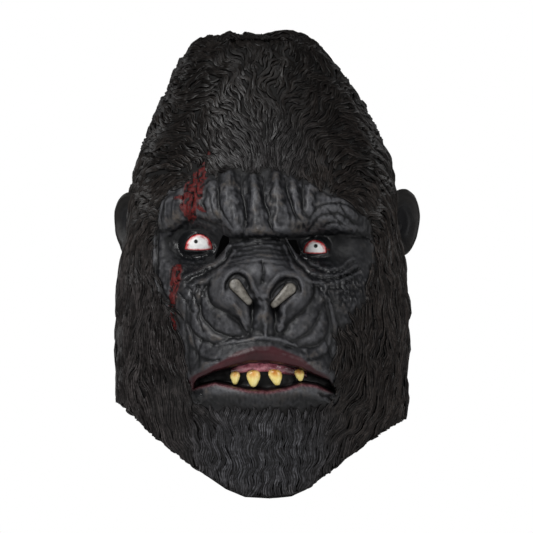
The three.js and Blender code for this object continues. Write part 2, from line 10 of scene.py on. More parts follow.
import bpy
import numpy as np
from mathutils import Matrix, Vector


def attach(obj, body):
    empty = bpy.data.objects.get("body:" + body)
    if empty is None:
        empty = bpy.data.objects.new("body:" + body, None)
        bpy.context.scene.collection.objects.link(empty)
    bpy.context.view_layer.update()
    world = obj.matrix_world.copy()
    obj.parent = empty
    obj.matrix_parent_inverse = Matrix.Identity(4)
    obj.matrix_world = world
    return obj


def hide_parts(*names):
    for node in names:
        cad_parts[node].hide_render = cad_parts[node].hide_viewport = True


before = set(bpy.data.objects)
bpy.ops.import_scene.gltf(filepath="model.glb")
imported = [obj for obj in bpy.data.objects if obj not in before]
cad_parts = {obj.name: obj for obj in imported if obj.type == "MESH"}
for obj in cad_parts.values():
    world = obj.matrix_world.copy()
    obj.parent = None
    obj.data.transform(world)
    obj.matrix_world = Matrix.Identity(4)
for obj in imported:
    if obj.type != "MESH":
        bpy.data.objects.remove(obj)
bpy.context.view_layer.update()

MM = 0.001

# Driving sizes, as the solids have them
MASK_HEIGHT = 400
HALF_WIDTH = 127
FACE_REACH = 98
BACK_REACH = 127
MUZZLE_REACH = 38
BROW_REACH = 13
NOSE_REACH = 12
SOCKET_DEPTH = 17
NOSTRIL_DEPTH = 8
MOUTH_DEPTH = 14
LIP_REACH = 6
WALL = 2.4
CLEARANCE = 0.3
WHOLE_HEIGHT = MASK_HEIGHT + WALL

# Eyes: place as shares, radius of the lid ball, width, height and sag of the half-moon opening; then the
# pupils' middles, across and down, with the radii between which their edge fades
EYES = (
    ("eye_left", -0.434, 0.455, 17.5, 24, 13, 1.2),
    ("eye_right", 0.358, 0.464, 16.5, 20.5, 10.8, 1),
)
PUPILS = {"eye_left": (-57.4, 177.6), "eye_right": (46, 181.5)}
PUPIL_INNER = 1.5
PUPIL_OUTER = 1.9
BALL_BURY = 12
BALL_BLEND = 3.5
EYE_THICK = 4.5
EYE_SUNK = 0.8
LID_LINE = 0.25

# Sight slots: place as shares, and an outline of across and up in millimetres
SLOTS = (
    (-0.268, 0.459, (
        (0, 10.5), (5.5, 8), (5.5, 3.8), (0, -3.6), (-6.7, -10.9), (-6.9, -8.4), (-4.2, -1.3), (-2.7, 5.3),
    )),
    (0.213, 0.459, ((-5.5, 5.9), (2.1, 6.3), (5, -1.3), (5.9, -7.6), (1.3, -4.2), (-3.2, 2.1))),
)

# Teeth: place as shares, width, length and lean of the tip
TOOTH_THICK = 6.5
TEETH = (
    ("tooth_1", -0.185, 0.727, 8.6, 11.4, 0.0),
    ("tooth_2", -0.061, 0.724, 12.2, 14.8, 0.0),
    ("tooth_3", 0.079, 0.722, 12, 14.3, 0.22),
    ("tooth_4", 0.244, 0.722, 8.8, 10.6, 0.2),
)
TOOTH_PROFILE = (
    (0, 0.2), (0.03, 0.45), (0.1, 0.75), (0.2, 0.93), (0.36, 1.0), (0.58, 0.86), (0.82, 0.58), (0.93, 0.42),
    (0.98, 0.26),
)
GUM_LEFT = -0.215
GUM_RIGHT = 0.3
GUM_HEIGHT = 9.5
GUM_FRONT = 6
GUM_ROUND = 3
GUM_BACK = 5
TOOTH_SINK = 2.2

# Pads in the nostrils: radii of the ends, how far out, how thick, the dome's rings as share of the outline
# and depth, and the middles of the wide upper end and the narrow lower end, as shares
PAD_WIDE = 5.4
PAD_NARROW = 3.1
PAD_OUT = 2.2
PAD_THICK = 7
PAD_DOME = (
    (0.25, 0.05), (0.45, 0.25), (0.65, 0.6), (0.8, 1.0), (0.9, 1.5), (0.97, 2.0), (1, 2.6), (1, PAD_THICK),
)
PADS = (
    ("nostril_pad_left", (-0.185, 0.54), (-0.092, 0.576)),
    ("nostril_pad_right", (0.188, 0.549), (0.078, 0.582)),
)

# Ears: side, how far out, drop and how far back
EAR_HEIGHT = 58
EAR_DEEP = 44
EAR_THICK = 13
EAR_DISH = 7
EAR_TURN = 48
EARS = (("ear_left", -1, -1.5, 0.411, 8), ("ear_right", 1, 6, 0.405, 8))

# Sections of the head from the crown down: drop, wide and lean to the side as shares, front as a share of
# FACE_REACH, middle and back of BACK_REACH.
SECTION_COLUMNS = ("drop", "wide", "front", "middle", "back", "lean")
SECTIONS = (
    (0.0, 0.0, -0.163, 0.126, 0.126, -0.03),
    (0.0025, 0.173, 0.061, 0.126, 0.315, -0.03),
    (0.0097, 0.328, 0.245, 0.126, 0.457, -0.034),
    (0.026, 0.425, 0.367, 0.12, 0.567, -0.04),
    (0.056, 0.506, 0.49, 0.11, 0.677, -0.04),
    (0.09, 0.578, 0.592, 0.1, 0.764, -0.03),
    (0.135, 0.657, 0.684, 0.09, 0.843, -0.01),
    (0.18, 0.736, 0.765, 0.08, 0.898, 0.0),
    (0.23, 0.805, 0.837, 0.08, 0.945, 0.004),
    (0.28, 0.862, 0.898, 0.08, 0.976, 0.007),
    (0.33, 0.895, 0.949, 0.08, 0.992, 0.007),
    (0.38, 0.905, 0.99, 0.08, 1.0, 0.005),
    (0.44, 0.928, 1.0, 0.08, 0.992, 0.0),
    (0.5, 0.964, 1.0, 0.08, 0.969, 0.0),
    (0.575, 0.984, 0.99, 0.08, 0.929, 0.0),
    (0.65, 0.986, 0.975, 0.08, 0.882, 0.0),
    (0.725, 0.988, 0.955, 0.08, 0.843, -0.004),
    (0.8, 0.98, 0.925, 0.08, 0.811, -0.006),
    (0.875, 0.945, 0.87, 0.08, 0.787, -0.004),
    (0.95, 0.885, 0.8, 0.08, 0.772, 0.0),
    (1.03, 0.785, 0.72, 0.08, 0.756, 0.0),
)
SQUARENESS = 2.35

# Rounded masses of the face: how far they stand out, place and half sizes as shares, how steeply they end.
MASSES = (
    (BROW_REACH, 0.0, 0.374, 0.77, 0.067, 4),
    (5.2, -0.62, 0.371, 0.118, 0.055, 3),
    (5.2, 0.55, 0.379, 0.189, 0.042, 3),
    (0.6 * NOSE_REACH, 0.0, 0.468, 0.16, 0.055, 3),
    (-SOCKET_DEPTH, -0.44, 0.458, 0.22, 0.056, 4),
    (-SOCKET_DEPTH, 0.37, 0.466, 0.228, 0.051, 4),
    (5.9, -0.63, 0.54, 0.205, 0.1, 3),
    (5.9, 0.646, 0.54, 0.205, 0.1, 3),
    (MUZZLE_REACH, 0.0, 0.682, 0.677, 0.209, 3),
    (NOSE_REACH, 0.0, 0.538, 0.346, 0.067, 3.5),
    (6.5, -0.26, 0.55, 0.102, 0.042, 3),
    (6.5, 0.26, 0.55, 0.102, 0.042, 3),
    (7.6, 0.0, 0.838, 0.354, 0.07, 3),
)

# Nostrils and lips: how far they stand out, half width, and a path of shares.
MAIN_LINES = (
    (-NOSTRIL_DEPTH, 8.9, ((-0.189, 0.538), (-0.087, 0.578))),
    (-NOSTRIL_DEPTH, 8.9, ((0.189, 0.548), (0.079, 0.583))),
    (LIP_REACH, 8.3, (
        (-0.47, 0.74), (-0.32, 0.71), (-0.2, 0.698), (-0.06, 0.684), (0.04, 0.684), (0.19, 0.694),
        (0.34, 0.715), (0.48, 0.74),
    )),
    (LIP_REACH, 7.6, (
        (-0.45, 0.776), (-0.32, 0.768), (-0.2, 0.775), (-0.08, 0.784), (0.03, 0.787), (0.15, 0.782),
        (0.264, 0.77), (0.363, 0.773), (0.48, 0.787),
    )),
)

# Small masses: how far they stand out, across, down, half width, half height, how steeply they end.
SMALL_MASSES = (
    (2.6, -12.5, 201, 13, 11, 3),  # bulbs of the nose
    (2.6, 13.5, 202, 13, 11, 3),
    (3.6, -56, 198, 17, 6.5, 3),  # bags under the eyes
    (3.0, 48, 200, 20, 6.5, 3),
    (-4.0, -7.5, 236, 4.5, 10, 3),  # hollows beside the septum
    (-4.0, 11.5, 239, 4.5, 9, 3),
    (3.0, -59.6, 302.3, 4, 4, 2),  # knots at the corners of the mouth
    (3.0, -56, 315, 7, 5, 2),
    (2.8, 64, 304, 5, 5, 2),
    (2.2, -70, 228, 16, 15, 3),  # cheeks below the bags
    (2.2, 68, 226, 16, 15, 3),
)

# Knobs of the brow, narrow above and broad below: how far they stand out, and a path of across, down and
# half width
KNOBS = (
    (5.6, ((-31, 121, 5.4), (-29.4, 133.6, 7), (-27.8, 148, 8.6), (-26, 160, 9.4), (-24, 166, 8.4))),
    (6.0, ((-7.6, 121.5, 3.2), (-6.8, 133.6, 4.6), (-5.2, 148, 6.8), (-3.8, 160, 9.2), (-3, 166.5, 8.8))),
    (5.6, ((11.7, 119, 3.8), (11.7, 132, 5), (13.3, 144.9, 7.4), (16.5, 156, 10.4), (19.5, 164, 11.6))),
    (3.4, ((27, 126, 2.8), (28.6, 140, 3.4), (31, 151, 3.8), (34, 160, 4))),
    (3.0, ((43, 123, 3), (41.8, 133, 4), (40, 142, 4.4), (41, 152, 4.4))),
    (2.4, ((-43, 128, 4), (-45, 142, 5), (-43, 155, 5.6))),
)

# Folds, furrows and wrinkles: how far they stand out, half width, and a path of across and down.
FINE_LINES = (
    # furrows between the knobs of the brow
    (-2.4, 2.2, ((-17.5, 122), (-17, 136), (-15.6, 150), (-14.6, 162), (-16, 171))),
    (-2.0, 1.5, ((1.5, 122), (2, 136), (3.8, 150), (6.6, 161), (9.4, 169))),
    (-1.8, 1.5, ((20.5, 124), (21.5, 136), (24.5, 147), (30.5, 158), (37, 167))),
    (-1.6, 1.4, ((35, 124), (35, 135), (35.5, 146))),
    (-1.6, 1.4, ((-38.5, 124), (-37.5, 136), (-36, 148), (-30, 160), (-24, 168))),
    (-1.4, 1.3, ((-47, 136), (-44, 149), (-37, 161), (-29, 169))),
    (-1.3, 1.2, ((-51, 147), (-45, 159), (-36, 169))),
    # wrinkles of the right brow
    (-2.2, 1.4, ((37.8, 168.3), (43.9, 160.5), (51.8, 155.3), (62.2, 152.7), (71.8, 155.3), (79.6, 162.3))),
    (-1.9, 1.3, ((40.5, 157), (48.3, 148.3), (58.7, 144), (70.9, 144.9), (81.3, 151.8))),
    (-1.7, 1.3, ((48.3, 167.5), (55.2, 162.3), (65.7, 160.5), (76.1, 165.7))),
    (-1.6, 1.4, ((51.8, 132.7), (58.7, 138.8), (69.2, 138.8), (77.9, 144))),
    (-1.4, 1.2, ((56, 150), (63, 157), (69, 167))),
    (-1.4, 1.2, ((68, 148), (74, 156), (82, 163))),
    # under the edge of the brow
    (-5.0, 2.4, ((12, 175), (30, 174.5), (50, 172.5), (72, 171), (90, 174))),
    (2.6, 3.6, ((16, 168), (32, 169), (52, 166.5), (72, 165), (86, 167))),
    (-4.4, 2.2, ((-26, 174.5), (-14, 175.5), (0, 174), (12, 175))),
    (2.4, 3.4, ((-24, 168), (-12, 168.5), (2, 167.5), (12, 168.5))),
    (-2.6, 2.2, ((-33, 166), (-45, 160), (-58, 158), (-70, 163), (-78, 174))),
    # folds below the sockets
    (3.0, 1.5, ((-28.3, 181.4), (-35.2, 191.8), (-43.9, 198.8), (-54.4, 204), (-66.6, 208.4))),
    (2.2, 1.5, ((-24, 184.9), (-31, 196.5), (-39.5, 205), (-50, 211), (-62, 216))),
    (-2.2, 1.3, ((-26.5, 184), (-33, 194.5), (-41.5, 202), (-52, 207.5), (-64, 212))),
    (3.0, 1.6, (
        (21, 176.8), (28.3, 189.2), (35.2, 198.8), (44.8, 205), (57, 207.5), (69.2, 206), (80, 199),
    )),
    (2.2, 1.5, ((18, 181.4), (24, 193.5), (31, 204), (42, 212), (56, 215), (70, 212.5), (84, 204))),
    (-2.2, 1.3, (
        (19.5, 179.5), (26, 191.5), (33, 201.5), (43.5, 208.6), (56.5, 211.3), (70, 209.3), (82, 201.5),
    )),
    (1.8, 1.2, ((30, 178), (36, 190), (44, 198), (56, 201.5), (68, 199), (78, 193))),
    (-1.6, 1.0, ((28, 181), (34, 192.5), (42.5, 200.5), (56, 204), (69, 202), (79, 196))),
    # lids
    (1.0, 1.3, ((-70, 183), (-67, 172), (-57, 167.5), (-47, 171), (-41.5, 183))),
    (1.0, 1.2, ((-70, 186), (-58, 188), (-43, 186))),
    (1.0, 1.2, ((34, 189), (45, 190.5), (57, 189))),
    (-1.2, 1.0, ((-70.0, 190.1), (-58.7, 193), (-43.9, 190.1))),
    (-1.2, 1.0, ((-70.9, 195.3), (-58.7, 199.4), (-43.1, 195.3))),
    (-1.1, 1.0, ((-64, 188), (-60, 194), (-54, 199))),
    (-1.1, 1.0, ((-52, 188), (-50, 193), (-47, 198))),
    # rims of the nostrils and the slit of the nose
    (3.0, 2.1, (
        (-34.5, 222), (-34, 213), (-29.8, 205), (-22, 202), (-14.5, 205.5), (-8.5, 214.5), (-5, 224),
    )),
    (3.0, 2.1, ((5.5, 225), (9, 213.5), (16, 205.5), (25.5, 204.8), (34, 211.5), (35.3, 222))),
    (-3.6, 1.8, ((-31, 217), (-30.6, 212), (-27.5, 207.6), (-22, 205.8), (-16.5, 208.6), (-12, 216))),
    (-3.6, 1.9, ((7.6, 223), (12, 214.5), (18, 209.8), (25, 209.2), (30.4, 212.4), (31.6, 219))),
    (-3.0, 2.0, ((9.5, 222), (13.5, 216), (18.5, 212.5))),
    (-3.2, 1.6, ((-0.4, 197), (0.8, 204), (0.4, 212))),
    (-1.8, 1.6, ((-8.3, 221.4), (-2.2, 226.8), (3.0, 228), (8.3, 224.9))),
    # wings of the nose
    (-4.8, 3.0, ((-47, 217), (-45, 227), (-39.5, 233.5), (-31, 237.5), (-24, 243), (-18, 250), (-12, 256))),
    (-4.8, 3.0, ((44.5, 215), (43, 226), (38, 234.5), (28, 242), (21.5, 249.5), (18, 256))),
    (-2.2, 2.2, ((-46.5, 217), (-43, 206), (-34, 197), (-27, 190))),
    (-2.2, 2.2, ((45, 217), (42, 207), (34, 199), (26, 192))),
    (2.2, 1.9, ((-25, 231), (-20.5, 237), (-16.5, 245), (-13.5, 253.5))),
    (2.2, 1.9, ((24, 229), (18.6, 235), (16.4, 243), (14.4, 254.5))),
    (2.2, 2.4, ((2, 226), (3, 241.4), (2.2, 258))),
    (-3.2, 2.0, ((-9.1, 231), (-8.3, 241.4), (-9.5, 251))),
    (-3.2, 1.8, ((10, 232.7), (10.9, 244), (11.7, 256.2))),
    # creases of the cheeks
    (-3.6, 2.3, ((-54, 232), (-52.5, 240), (-48.3, 247.5), (-41.3, 254.5), (-31.8, 257.5), (-20.2, 259.7))),
    (-2.6, 1.9, ((-64.9, 246), (-59, 257), (-50, 264.5), (-39, 266), (-30, 262.5))),
    (-1.6, 1.6, ((-62.3, 268), (-55.2, 276), (-45.7, 280.4), (-37, 279))),
    (-3.0, 2.2, ((53.5, 234), (57.5, 246), (56.1, 257.2), (49, 265.9), (38.7, 269.4), (23, 267.5))),
    (-2.4, 1.9, ((49.3, 238.8), (43.9, 250), (35.2, 259.7), (26, 264))),
    (-1.6, 1.6, ((62, 266), (57, 274), (50.8, 278), (38.6, 279.8))),
    # sides of the muzzle
    (-1.5, 1.3, ((-48.3, 215.3), (-54.4, 228.4), (-56.1, 241.4), (-51.8, 254.5))),
    (-1.5, 1.3, ((-55.2, 215.3), (-61.3, 232.7), (-62.2, 250.1), (-57.9, 267.5), (-54.4, 284.9))),
    (-1.5, 1.3, ((-63.1, 228.4), (-66.6, 250.1), (-63.9, 271.9), (-61.3, 291.0))),
    (-1.5, 1.3, ((48.3, 215.3), (54.4, 228.4), (58.7, 241.4), (59.6, 258.8), (58.7, 276.2))),
    (-1.5, 1.3, ((57.0, 219.7), (63.9, 237.1), (67.4, 258.8), (65.7, 280.6))),
    (-1.2, 1.2, ((-51, 262), (-56, 276), (-58, 288))),
    (-1.2, 1.2, ((54, 262), (60, 274), (63, 288))),
    # corners of the mouth
    (-2.2, 1.5, ((-65, 300), (-65, 308.4), (-60.6, 319.9), (-49.2, 325.1))),
    (-2.0, 1.4, ((61.1, 298), (66.6, 309.3), (71.8, 315.4))),
    (-1.8, 1.4, ((58, 312), (63, 318), (66, 326))),
    (3.0, 1.5, ((-62, 303), (-62, 310), (-60, 316), (-55.5, 318.5), (-51, 315.5), (-53, 311.5))),
    (-3.2, 1.4, ((-58.5, 306), (-58, 311), (-56.5, 314), (-54.5, 315))),
    (3.0, 1.6, ((66, 303), (66.5, 311), (63, 317), (56, 316), (48, 311))),
    (-3.0, 1.4, ((62.5, 306), (62, 311), (57, 313), (50, 310))),
    (1.6, 1.6, ((-40, 266), (-22, 262.5), (-8, 260.5), (8, 260.5), (22, 264), (36, 271))),
    # edge of the face beside the left brow and cheek
    (1.8, 1.5, ((-65.7, 125.7), (-77.0, 129.2), (-85.7, 139.6), (-89.2, 153.6), (-88.3, 166.6))),
    (-2.0, 1.4, ((-88.3, 169.3), (-78.7, 169.3), (-70.3, 166.6))),
    (2.2, 1.5, ((-108.3, 181.4), (-103.1, 195.3), (-97.0, 213.6), (-90.0, 228.4), (-80.5, 239.7))),
    (2.9, 1.3, ((-92, 166), (-94.7, 183.5), (-95, 202), (-91.2, 220), (-80.8, 235.5), (-76, 250))),
    (-2.0, 1.3, ((-88.6, 168), (-91, 184), (-91.2, 201), (-87.4, 217), (-78.5, 231))),
    (-1.8, 1.6, ((-97, 160), (-97, 178), (-93, 200), (-91, 218))),
    (1.6, 1.5, ((94.4, 163.1), (97.0, 184.9), (95.3, 211.0), (90.0, 228.4))),
    # wrinkles of the left cheek
    (-1.2, 1.1, ((-66, 216), (-60, 222), (-56, 232))),
    (-1.2, 1.1, ((-70, 222), (-64, 228), (-60, 238))),
    (-1.1, 1.1, ((-62, 212), (-56, 216), (-50, 224))),
)

# Profile of a fold: how pointed a furrow and a fold are, and how many times wider its shoulders spread
FURROW_EDGE = 1.25
FOLD_EDGE = 2
SHOULDER = 2.5

# The part of a fold that goes into its shoulders, for deep furrows and for the others
DEEP_FURROW = -2
DEEP_SOFT = 0.35
PLAIN_SOFT = 0.15

# Wrinkles across the bridge of the nose: the first one's down at each place across, the step between them,
# the first one's depth and how much shallower each next one is
BRIDGE_PATH = ((-24, 178), (-11, 175.3), (2, 175.8), (15, 176.2), (24, 178.8))
BRIDGE_WRINKLES = 6
BRIDGE_STEP = 3.9
BRIDGE_DEPTH = 1.7
BRIDGE_FADE = 0.15

# Upright creases of the lower lip: number, the first one's place across, step, upper and lower end
LIP_CREASES = 30
CREASE_START = -50
CREASE_STEP = 3.6
CREASE_TOP = 306
CREASE_BOTTOM = 317

# Layers of noise: amount, size of the bumps and shift
NOISE_SEED = 7
WAVER_ACROSS = ((1.3, 9, 0), (0.5, 3.5, 20))
WAVER_UP = ((1.3, 9, 40), (0.5, 3.5, 60))
HAIRLINE_RAGS = ((3.5, 9, 30), (2, 3.5, 80))
WOUND_RAGS = ((0.3, 3.5, 0), (0.15, 1.8, 60))
HAIR_SWIRL = ((0.8, 26, 0), (0.5, 12, 30))

# Upper and lower edge of the open mouth, and how the rows run on past its corners, as shares
MOUTH_LEFT = -0.47
MOUTH_RIGHT = 0.5
MOUTH_TOP = (
    (-0.9, 0.69), (MOUTH_LEFT, 0.752), (-0.44, 0.738), (-0.32, 0.721), (-0.2, 0.711), (-0.094, 0.7025),
    (0.055, 0.7025), (0.154, 0.708), (0.246, 0.7135), (0.346, 0.728), (0.456, 0.742),
    (MOUTH_RIGHT, 0.762), (0.9, 0.69),
)
MOUTH_BOTTOM = (
    (-0.9, 0.72), (MOUTH_LEFT, 0.765), (-0.43, 0.76), (-0.32, 0.751), (-0.22, 0.758), (-0.1, 0.7665),
    (0.03, 0.769), (0.154, 0.763), (0.264, 0.752), (0.363, 0.756), (0.47, 0.772), (MOUTH_RIGHT, 0.775),
    (0.9, 0.72),
)
MOUTH_EDGE = 3

# The cut edge below, as shares
RIM_FRONT = (
    (-1.1, 0.786), (-0.962, 0.798), (-0.73, 0.867), (-0.442, 0.939), (-0.25, 0.98), (-0.12, 0.997),
    (0.05, 1.0), (0.2, 0.995), (0.3, 0.981), (0.476, 0.939), (0.668, 0.891), (0.82, 0.858),
    (0.95, 0.834), (1.1, 0.815),
)
RIM_BACK = ((-1.1, 0.786), (0, 0.775), (1.1, 0.815))

# The skin's mesh: first rows as places in the section table, then angle or drop that each band of columns or
# rows ends at, and their number
FIRST_ROWS = np.arange(0.5, 4.5, 0.5)
COLUMN_BANDS = ((52, 113), (90, 20), (180, 26))
ROW_BANDS = ((0.22, 22), (0.86, 212), (1.0, 18))

# The lining takes every so many columns and rows
LINING_STEP = 3

# The mesh's rows bend from this drop on, so that two of them lie along the mouth's edges
BEND_DROP = 0.66
TOP_ROW = 0.72
BOTTOM_ROW = 0.77

# Depths between which the openings are cut, and the angle above which an edge stays sharp
CUT_FRONT = -160
CUT_BACK = -40
SHARP_ANGLE = 70

# Tufts and a dent of the crown's outline: place across, half width and rise
TUFTS = (
    (24, 9, 3.4), (3.5, 6, -2.6), (-30, 8, 1.2), (-52, 9, 1.6), (-29, 3.5, 2.0), (-14, 3.5, 1.4),
    (17, 3.5, 2.0),
)

# Upper edge of the maroon lip, across and down
LIP_TOP = (
    (-64, 296), (-62.2, 294.5), (-49.2, 287.5), (-33.5, 279.3), (-21.3, 271.9), (-6.5, 267.5),
    (9.1, 267.5), (23.1, 272.7), (33.5, 277.1), (45.7, 287.5), (57.9, 293.6), (60, 297),
)

# Wounds and red stains: middle lines of across, down and half width
SCARS = (
    ((-45.7, 99.6, 1), (-46.5, 103.1, 1.4), (-50, 113.5, 3.2), (-53.5, 120.5, 5.2), (-58.7, 130.9, 7.4),
     (-61.3, 139.6, 8.0), (-63.1, 148.3, 6.8), (-61.3, 156.2, 4.3), (-61.3, 161.4, 1.6)),
    ((-62, 138, 3), (-66.6, 138.8, 2.6), (-76, 140.5, 0.8)),
    ((-56, 147, 2.4), (-51.5, 150.5, 1.4), (-49, 152, 0.6)),
    ((56, 184.4, 0.9), (60, 185.4, 0.4)),
    ((-72.4, 201, 3.5), (-74.4, 203.1, 4.6), (-75.3, 211, 4.3), (-77, 221.4, 3.4), (-77.9, 232.7, 2.9),
     (-76.1, 244, 2), (-75.3, 254.5, 1)),
)

# Wet black places, and places darkened with painted shade: across, down, half width, half height and amount
GLOSS = (
    (-57, 180, 19, 17, 1), (46, 184, 20, 13, 1), (-60, 204, 20, 8, 0.6), (60, 204, 24, 8, 0.6),
    (-58, 308, 8, 9, 0.9), (64, 306, 7, 9, 0.9), (66, 220, 20, 15, 0.6), (-62, 222, 14, 14, 0.4),
)
PAINTED_SHADE = (
    (0, 317, 68, 10, 1.0), (76, 186, 22, 17, 0.85), (-80, 184, 14, 16, 0.15), (-48, 174, 30, 9, 0.5),
    (0, 122, 60, 9, 0.5), (-62, 290, 12, 26, 0.6), (64, 288, 10, 28, 0.6), (61, 246, 8, 28, 0.55),
    (-65, 256, 7, 26, 0.5), (88, 160, 10, 16, 0.6), (0, 183, 22, 8, 0.3),
)

# The bare face ends at this cosine of the angle from the front, and lies so far away beyond it
FACE_END = 0.2
FAR_OUTSIDE = -60

# Relief in millimetres taken as full for the lighter ridges and the painted shade in hollows, for wrinkles
# and for broader forms
FINE_RELIEF = 0.45
BROAD_RELIEF = 1.2

# Edge of the bare face, across and down; hair grows outside it
BARE_FACE = (
    (-68, 127.2), (-79.2, 130.4), (-87.3, 140), (-89.7, 152.9), (-90, 167.4), (-94.5, 170.6),
    (-96.6, 183.5), (-96.9, 196.3), (-93.7, 212.4), (-88.1, 226.9), (-80.1, 239.8), (-76, 254.3),
    (-68.5, 273.6), (-65, 289.7), (-65, 305.8), (-62, 316), (-53.5, 320.5), (-34.2, 320.2), (6, 320.2),
    (38.2, 320.2), (57.5, 318.6), (67.4, 310.6), (69.4, 296.1), (66.5, 276.8), (62, 257.5), (73.6, 243),
    (89.7, 228.5), (95.3, 212.4), (93.7, 193.1), (95.3, 177), (92.9, 164.2), (84.9, 149.7), (67.2, 140),
    (47.9, 132), (35, 125), (18.9, 118.7), (-0.4, 116.5), (-19.7, 116.5), (-37.4, 120), (-53.5, 125.5),
)

# Flow of the hair on the right: angle from the front, drop, and heading (0 down, 90 away from the face and
# 180 up). The left side mirrors it.
FLOW = (
    (0, 0.05, 180), (0, 0.15, 180), (0, 0.28, 178), (12, 0.1, 145), (12, 0.2, 142), (20, 0.27, 140),
    (27, 0.14, 118), (45, 0.25, 96), (45, 0.12, 100), (60, 0.33, 70), (70, 0.2, 90), (75, 0.4, 15),
    (90, 0.3, 20), (80, 0.55, 0), (60, 0.6, -5), (50, 0.8, -20), (20, 0.9, -5), (0, 0.9, 0),
    (40, 0.7, -10), (150, 0.1, 0), (120, 0.3, 0), (120, 0.6, 0), (180, 0.2, 0), (180, 0.5, 0),
    (180, 0.75, 0),
)


def along(pairs, x):
    """Value of a list of (x, y) pairs at x, joined by straight lines."""
    return np.interp(x, [p[0] for p in pairs], [p[1] for p in pairs])


def smooth_step(low, high, value):
    """0 below low, 1 above high, and a smooth rise between them."""
    t = np.clip((value - low) / (high - low), 0, 1)
    return t * t * (3 - 2 * t)


def bell(value, middle, wide):
    """1 at the middle, 0 well away from it."""
    return np.exp(-((value - middle) / wide) ** 2)


def mound(x, z, across, up, wide, tall, edge):
    """1 in the middle of a rounded patch, 0 away from it; a higher edge makes its end steeper."""
    return np.exp(-np.hypot((x - across) / wide, (z - up) / tall) ** edge)


def height_at(drop):
    """Height of a drop below the crown."""
    return WALL - drop * WHOLE_HEIGHT


class Noise:
    """Smooth value noise between -1 and 1."""

    def __init__(self, seed, size=32):
        self.size = size
        self.values = np.random.default_rng(seed).random((size, size, size)) * 2 - 1

    def at(self, points, scale):
        place = points / scale
        cell = np.floor(place).astype(int)
        t = place - cell
        t = t * t * (3 - 2 * t)
        total = 0
        for i in (0, 1):
            for j in (0, 1):
                for k in (0, 1):
                    x, y, z = ((cell[..., n] + d) % self.size for n, d in enumerate((i, j, k)))
                    weight = 1
                    for n, d in enumerate((i, j, k)):
                        weight = weight * (t[..., n] if d else 1 - t[..., n])
                    total = total + weight * self.values[x, y, z]
        return total


noise = Noise(NOISE_SEED)


def roughened(field, points, layers):
    """A field with layers of noise added to it."""
    for amount, size, shift in layers:
        field = field + amount * noise.at(points + shift, size)
    return field


def section_value(name, s):
    """One column of the section table at row s, on a smooth curve through the rows."""
    values = np.array([row[SECTION_COLUMNS.index(name)] for row in SECTIONS])
    last = len(values) - 1
    i = np.minimum(last - 1, np.floor(s)).astype(int)
    t = s - i
    a, b, c, d = (values[np.clip(i + k, 0, last)] for k in (-1, 0, 1, 2))
    bend = 2 * a - 5 * b + 4 * c - d + t * (3 * b - a - 3 * c + d)
    return b + 0.5 * t * (c - a + t * bend)


FINE_ROWS = np.linspace(0, len(SECTIONS) - 1, 4001)
FINE_DROPS = section_value("drop", FINE_ROWS)


def row_at(drop):
    """Row of the section table that lies at a drop."""
    return np.interp(drop, FINE_DROPS, FINE_ROWS)


def head_point(angle, s):
    """Point of the plain head, without its face, in a direction turned by angle from the front."""
    wide = np.maximum(1e-3, section_value("wide", s) * HALF_WIDTH)
    middle = section_value("middle", s) * BACK_REACH
    front = np.maximum(1e-3, section_value("front", s) * FACE_REACH + middle)
    back = np.maximum(1e-3, section_value("back", s) * BACK_REACH - middle)
    sine, cosine = np.sin(angle), np.cos(angle)
    deep = np.where(cosine > 0, front, back)
    radius = (np.abs(sine / wide) ** SQUARENESS + np.abs(cosine / deep) ** SQUARENESS) ** (-1 / SQUARENESS)
    lean = section_value("lean", s) * HALF_WIDTH
    z = height_at(section_value("drop", s))
    return np.stack((lean + radius * sine, middle - radius * cosine, z), -1)


def rounded(path, times=2):
    """A path with its corners cut, so that it bends smoothly."""
    points = np.array(path, float)
    for _ in range(times):
        first = points[:-1] * 0.75 + points[1:] * 0.25
        second = points[:-1] * 0.25 + points[1:] * 0.75
        between = np.stack((first, second), 1).reshape(-1, points.shape[1])
        points = np.vstack((points[:1], between, points[-1:]))
    return points


def distance_to(path, x, z):
    """Distance from points to a path of across and up, in half widths where the path gives them."""
    nearest = np.full(np.shape(x), np.inf)
    for a, b in zip(path[:-1], path[1:]):
        way = b[:2] - a[:2]
        t = np.clip(((x - a[0]) * way[0] + (z - a[1]) * way[1]) / max(1e-9, way @ way), 0, 1)
        away = np.hypot(x - a[0] - t * way[0], z - a[1] - t * way[1])
        if len(a) > 2:
            away = away / (a[2] + (b[2] - a[2]) * t)
        nearest = np.minimum(nearest, away)
    return nearest


def near(path, x, z, margin):
    """Which points lie within a margin of a path's box."""
    low, high = path[:, :2].min(0) - margin, path[:, :2].max(0) + margin
    return (x > low[0]) & (x < high[0]) & (z > low[1]) & (z < high[1])


def ridge(path, reach, wide, x, z, lift, soft=0.0):
    """Adds a round fold or a sharp furrow to lift; soft is the part that spreads into wide shoulders."""
    close = near(path, x, z, 7 * wide if soft else 3 * wide)
    share = distance_to(path, x[close], z[close]) / wide
    edge = FURROW_EDGE if reach < 0 and soft else FOLD_EDGE
    lift[close] += reach * ((1 - soft) * np.exp(-share ** edge) + soft * bell(share, 0, SHOULDER))


def inside_mouth(x, z):
    """How deep a point of the front view lies inside the mouth's outline; negative outside."""
    share = x / HALF_WIDTH
    top = height_at(along(MOUTH_TOP, share)) - z
    bottom = z - height_at(along(MOUTH_BOTTOM, share))
    sides = HALF_WIDTH * np.minimum(share - MOUTH_LEFT, MOUTH_RIGHT - share)
    return np.minimum(np.minimum(top, bottom), sides)


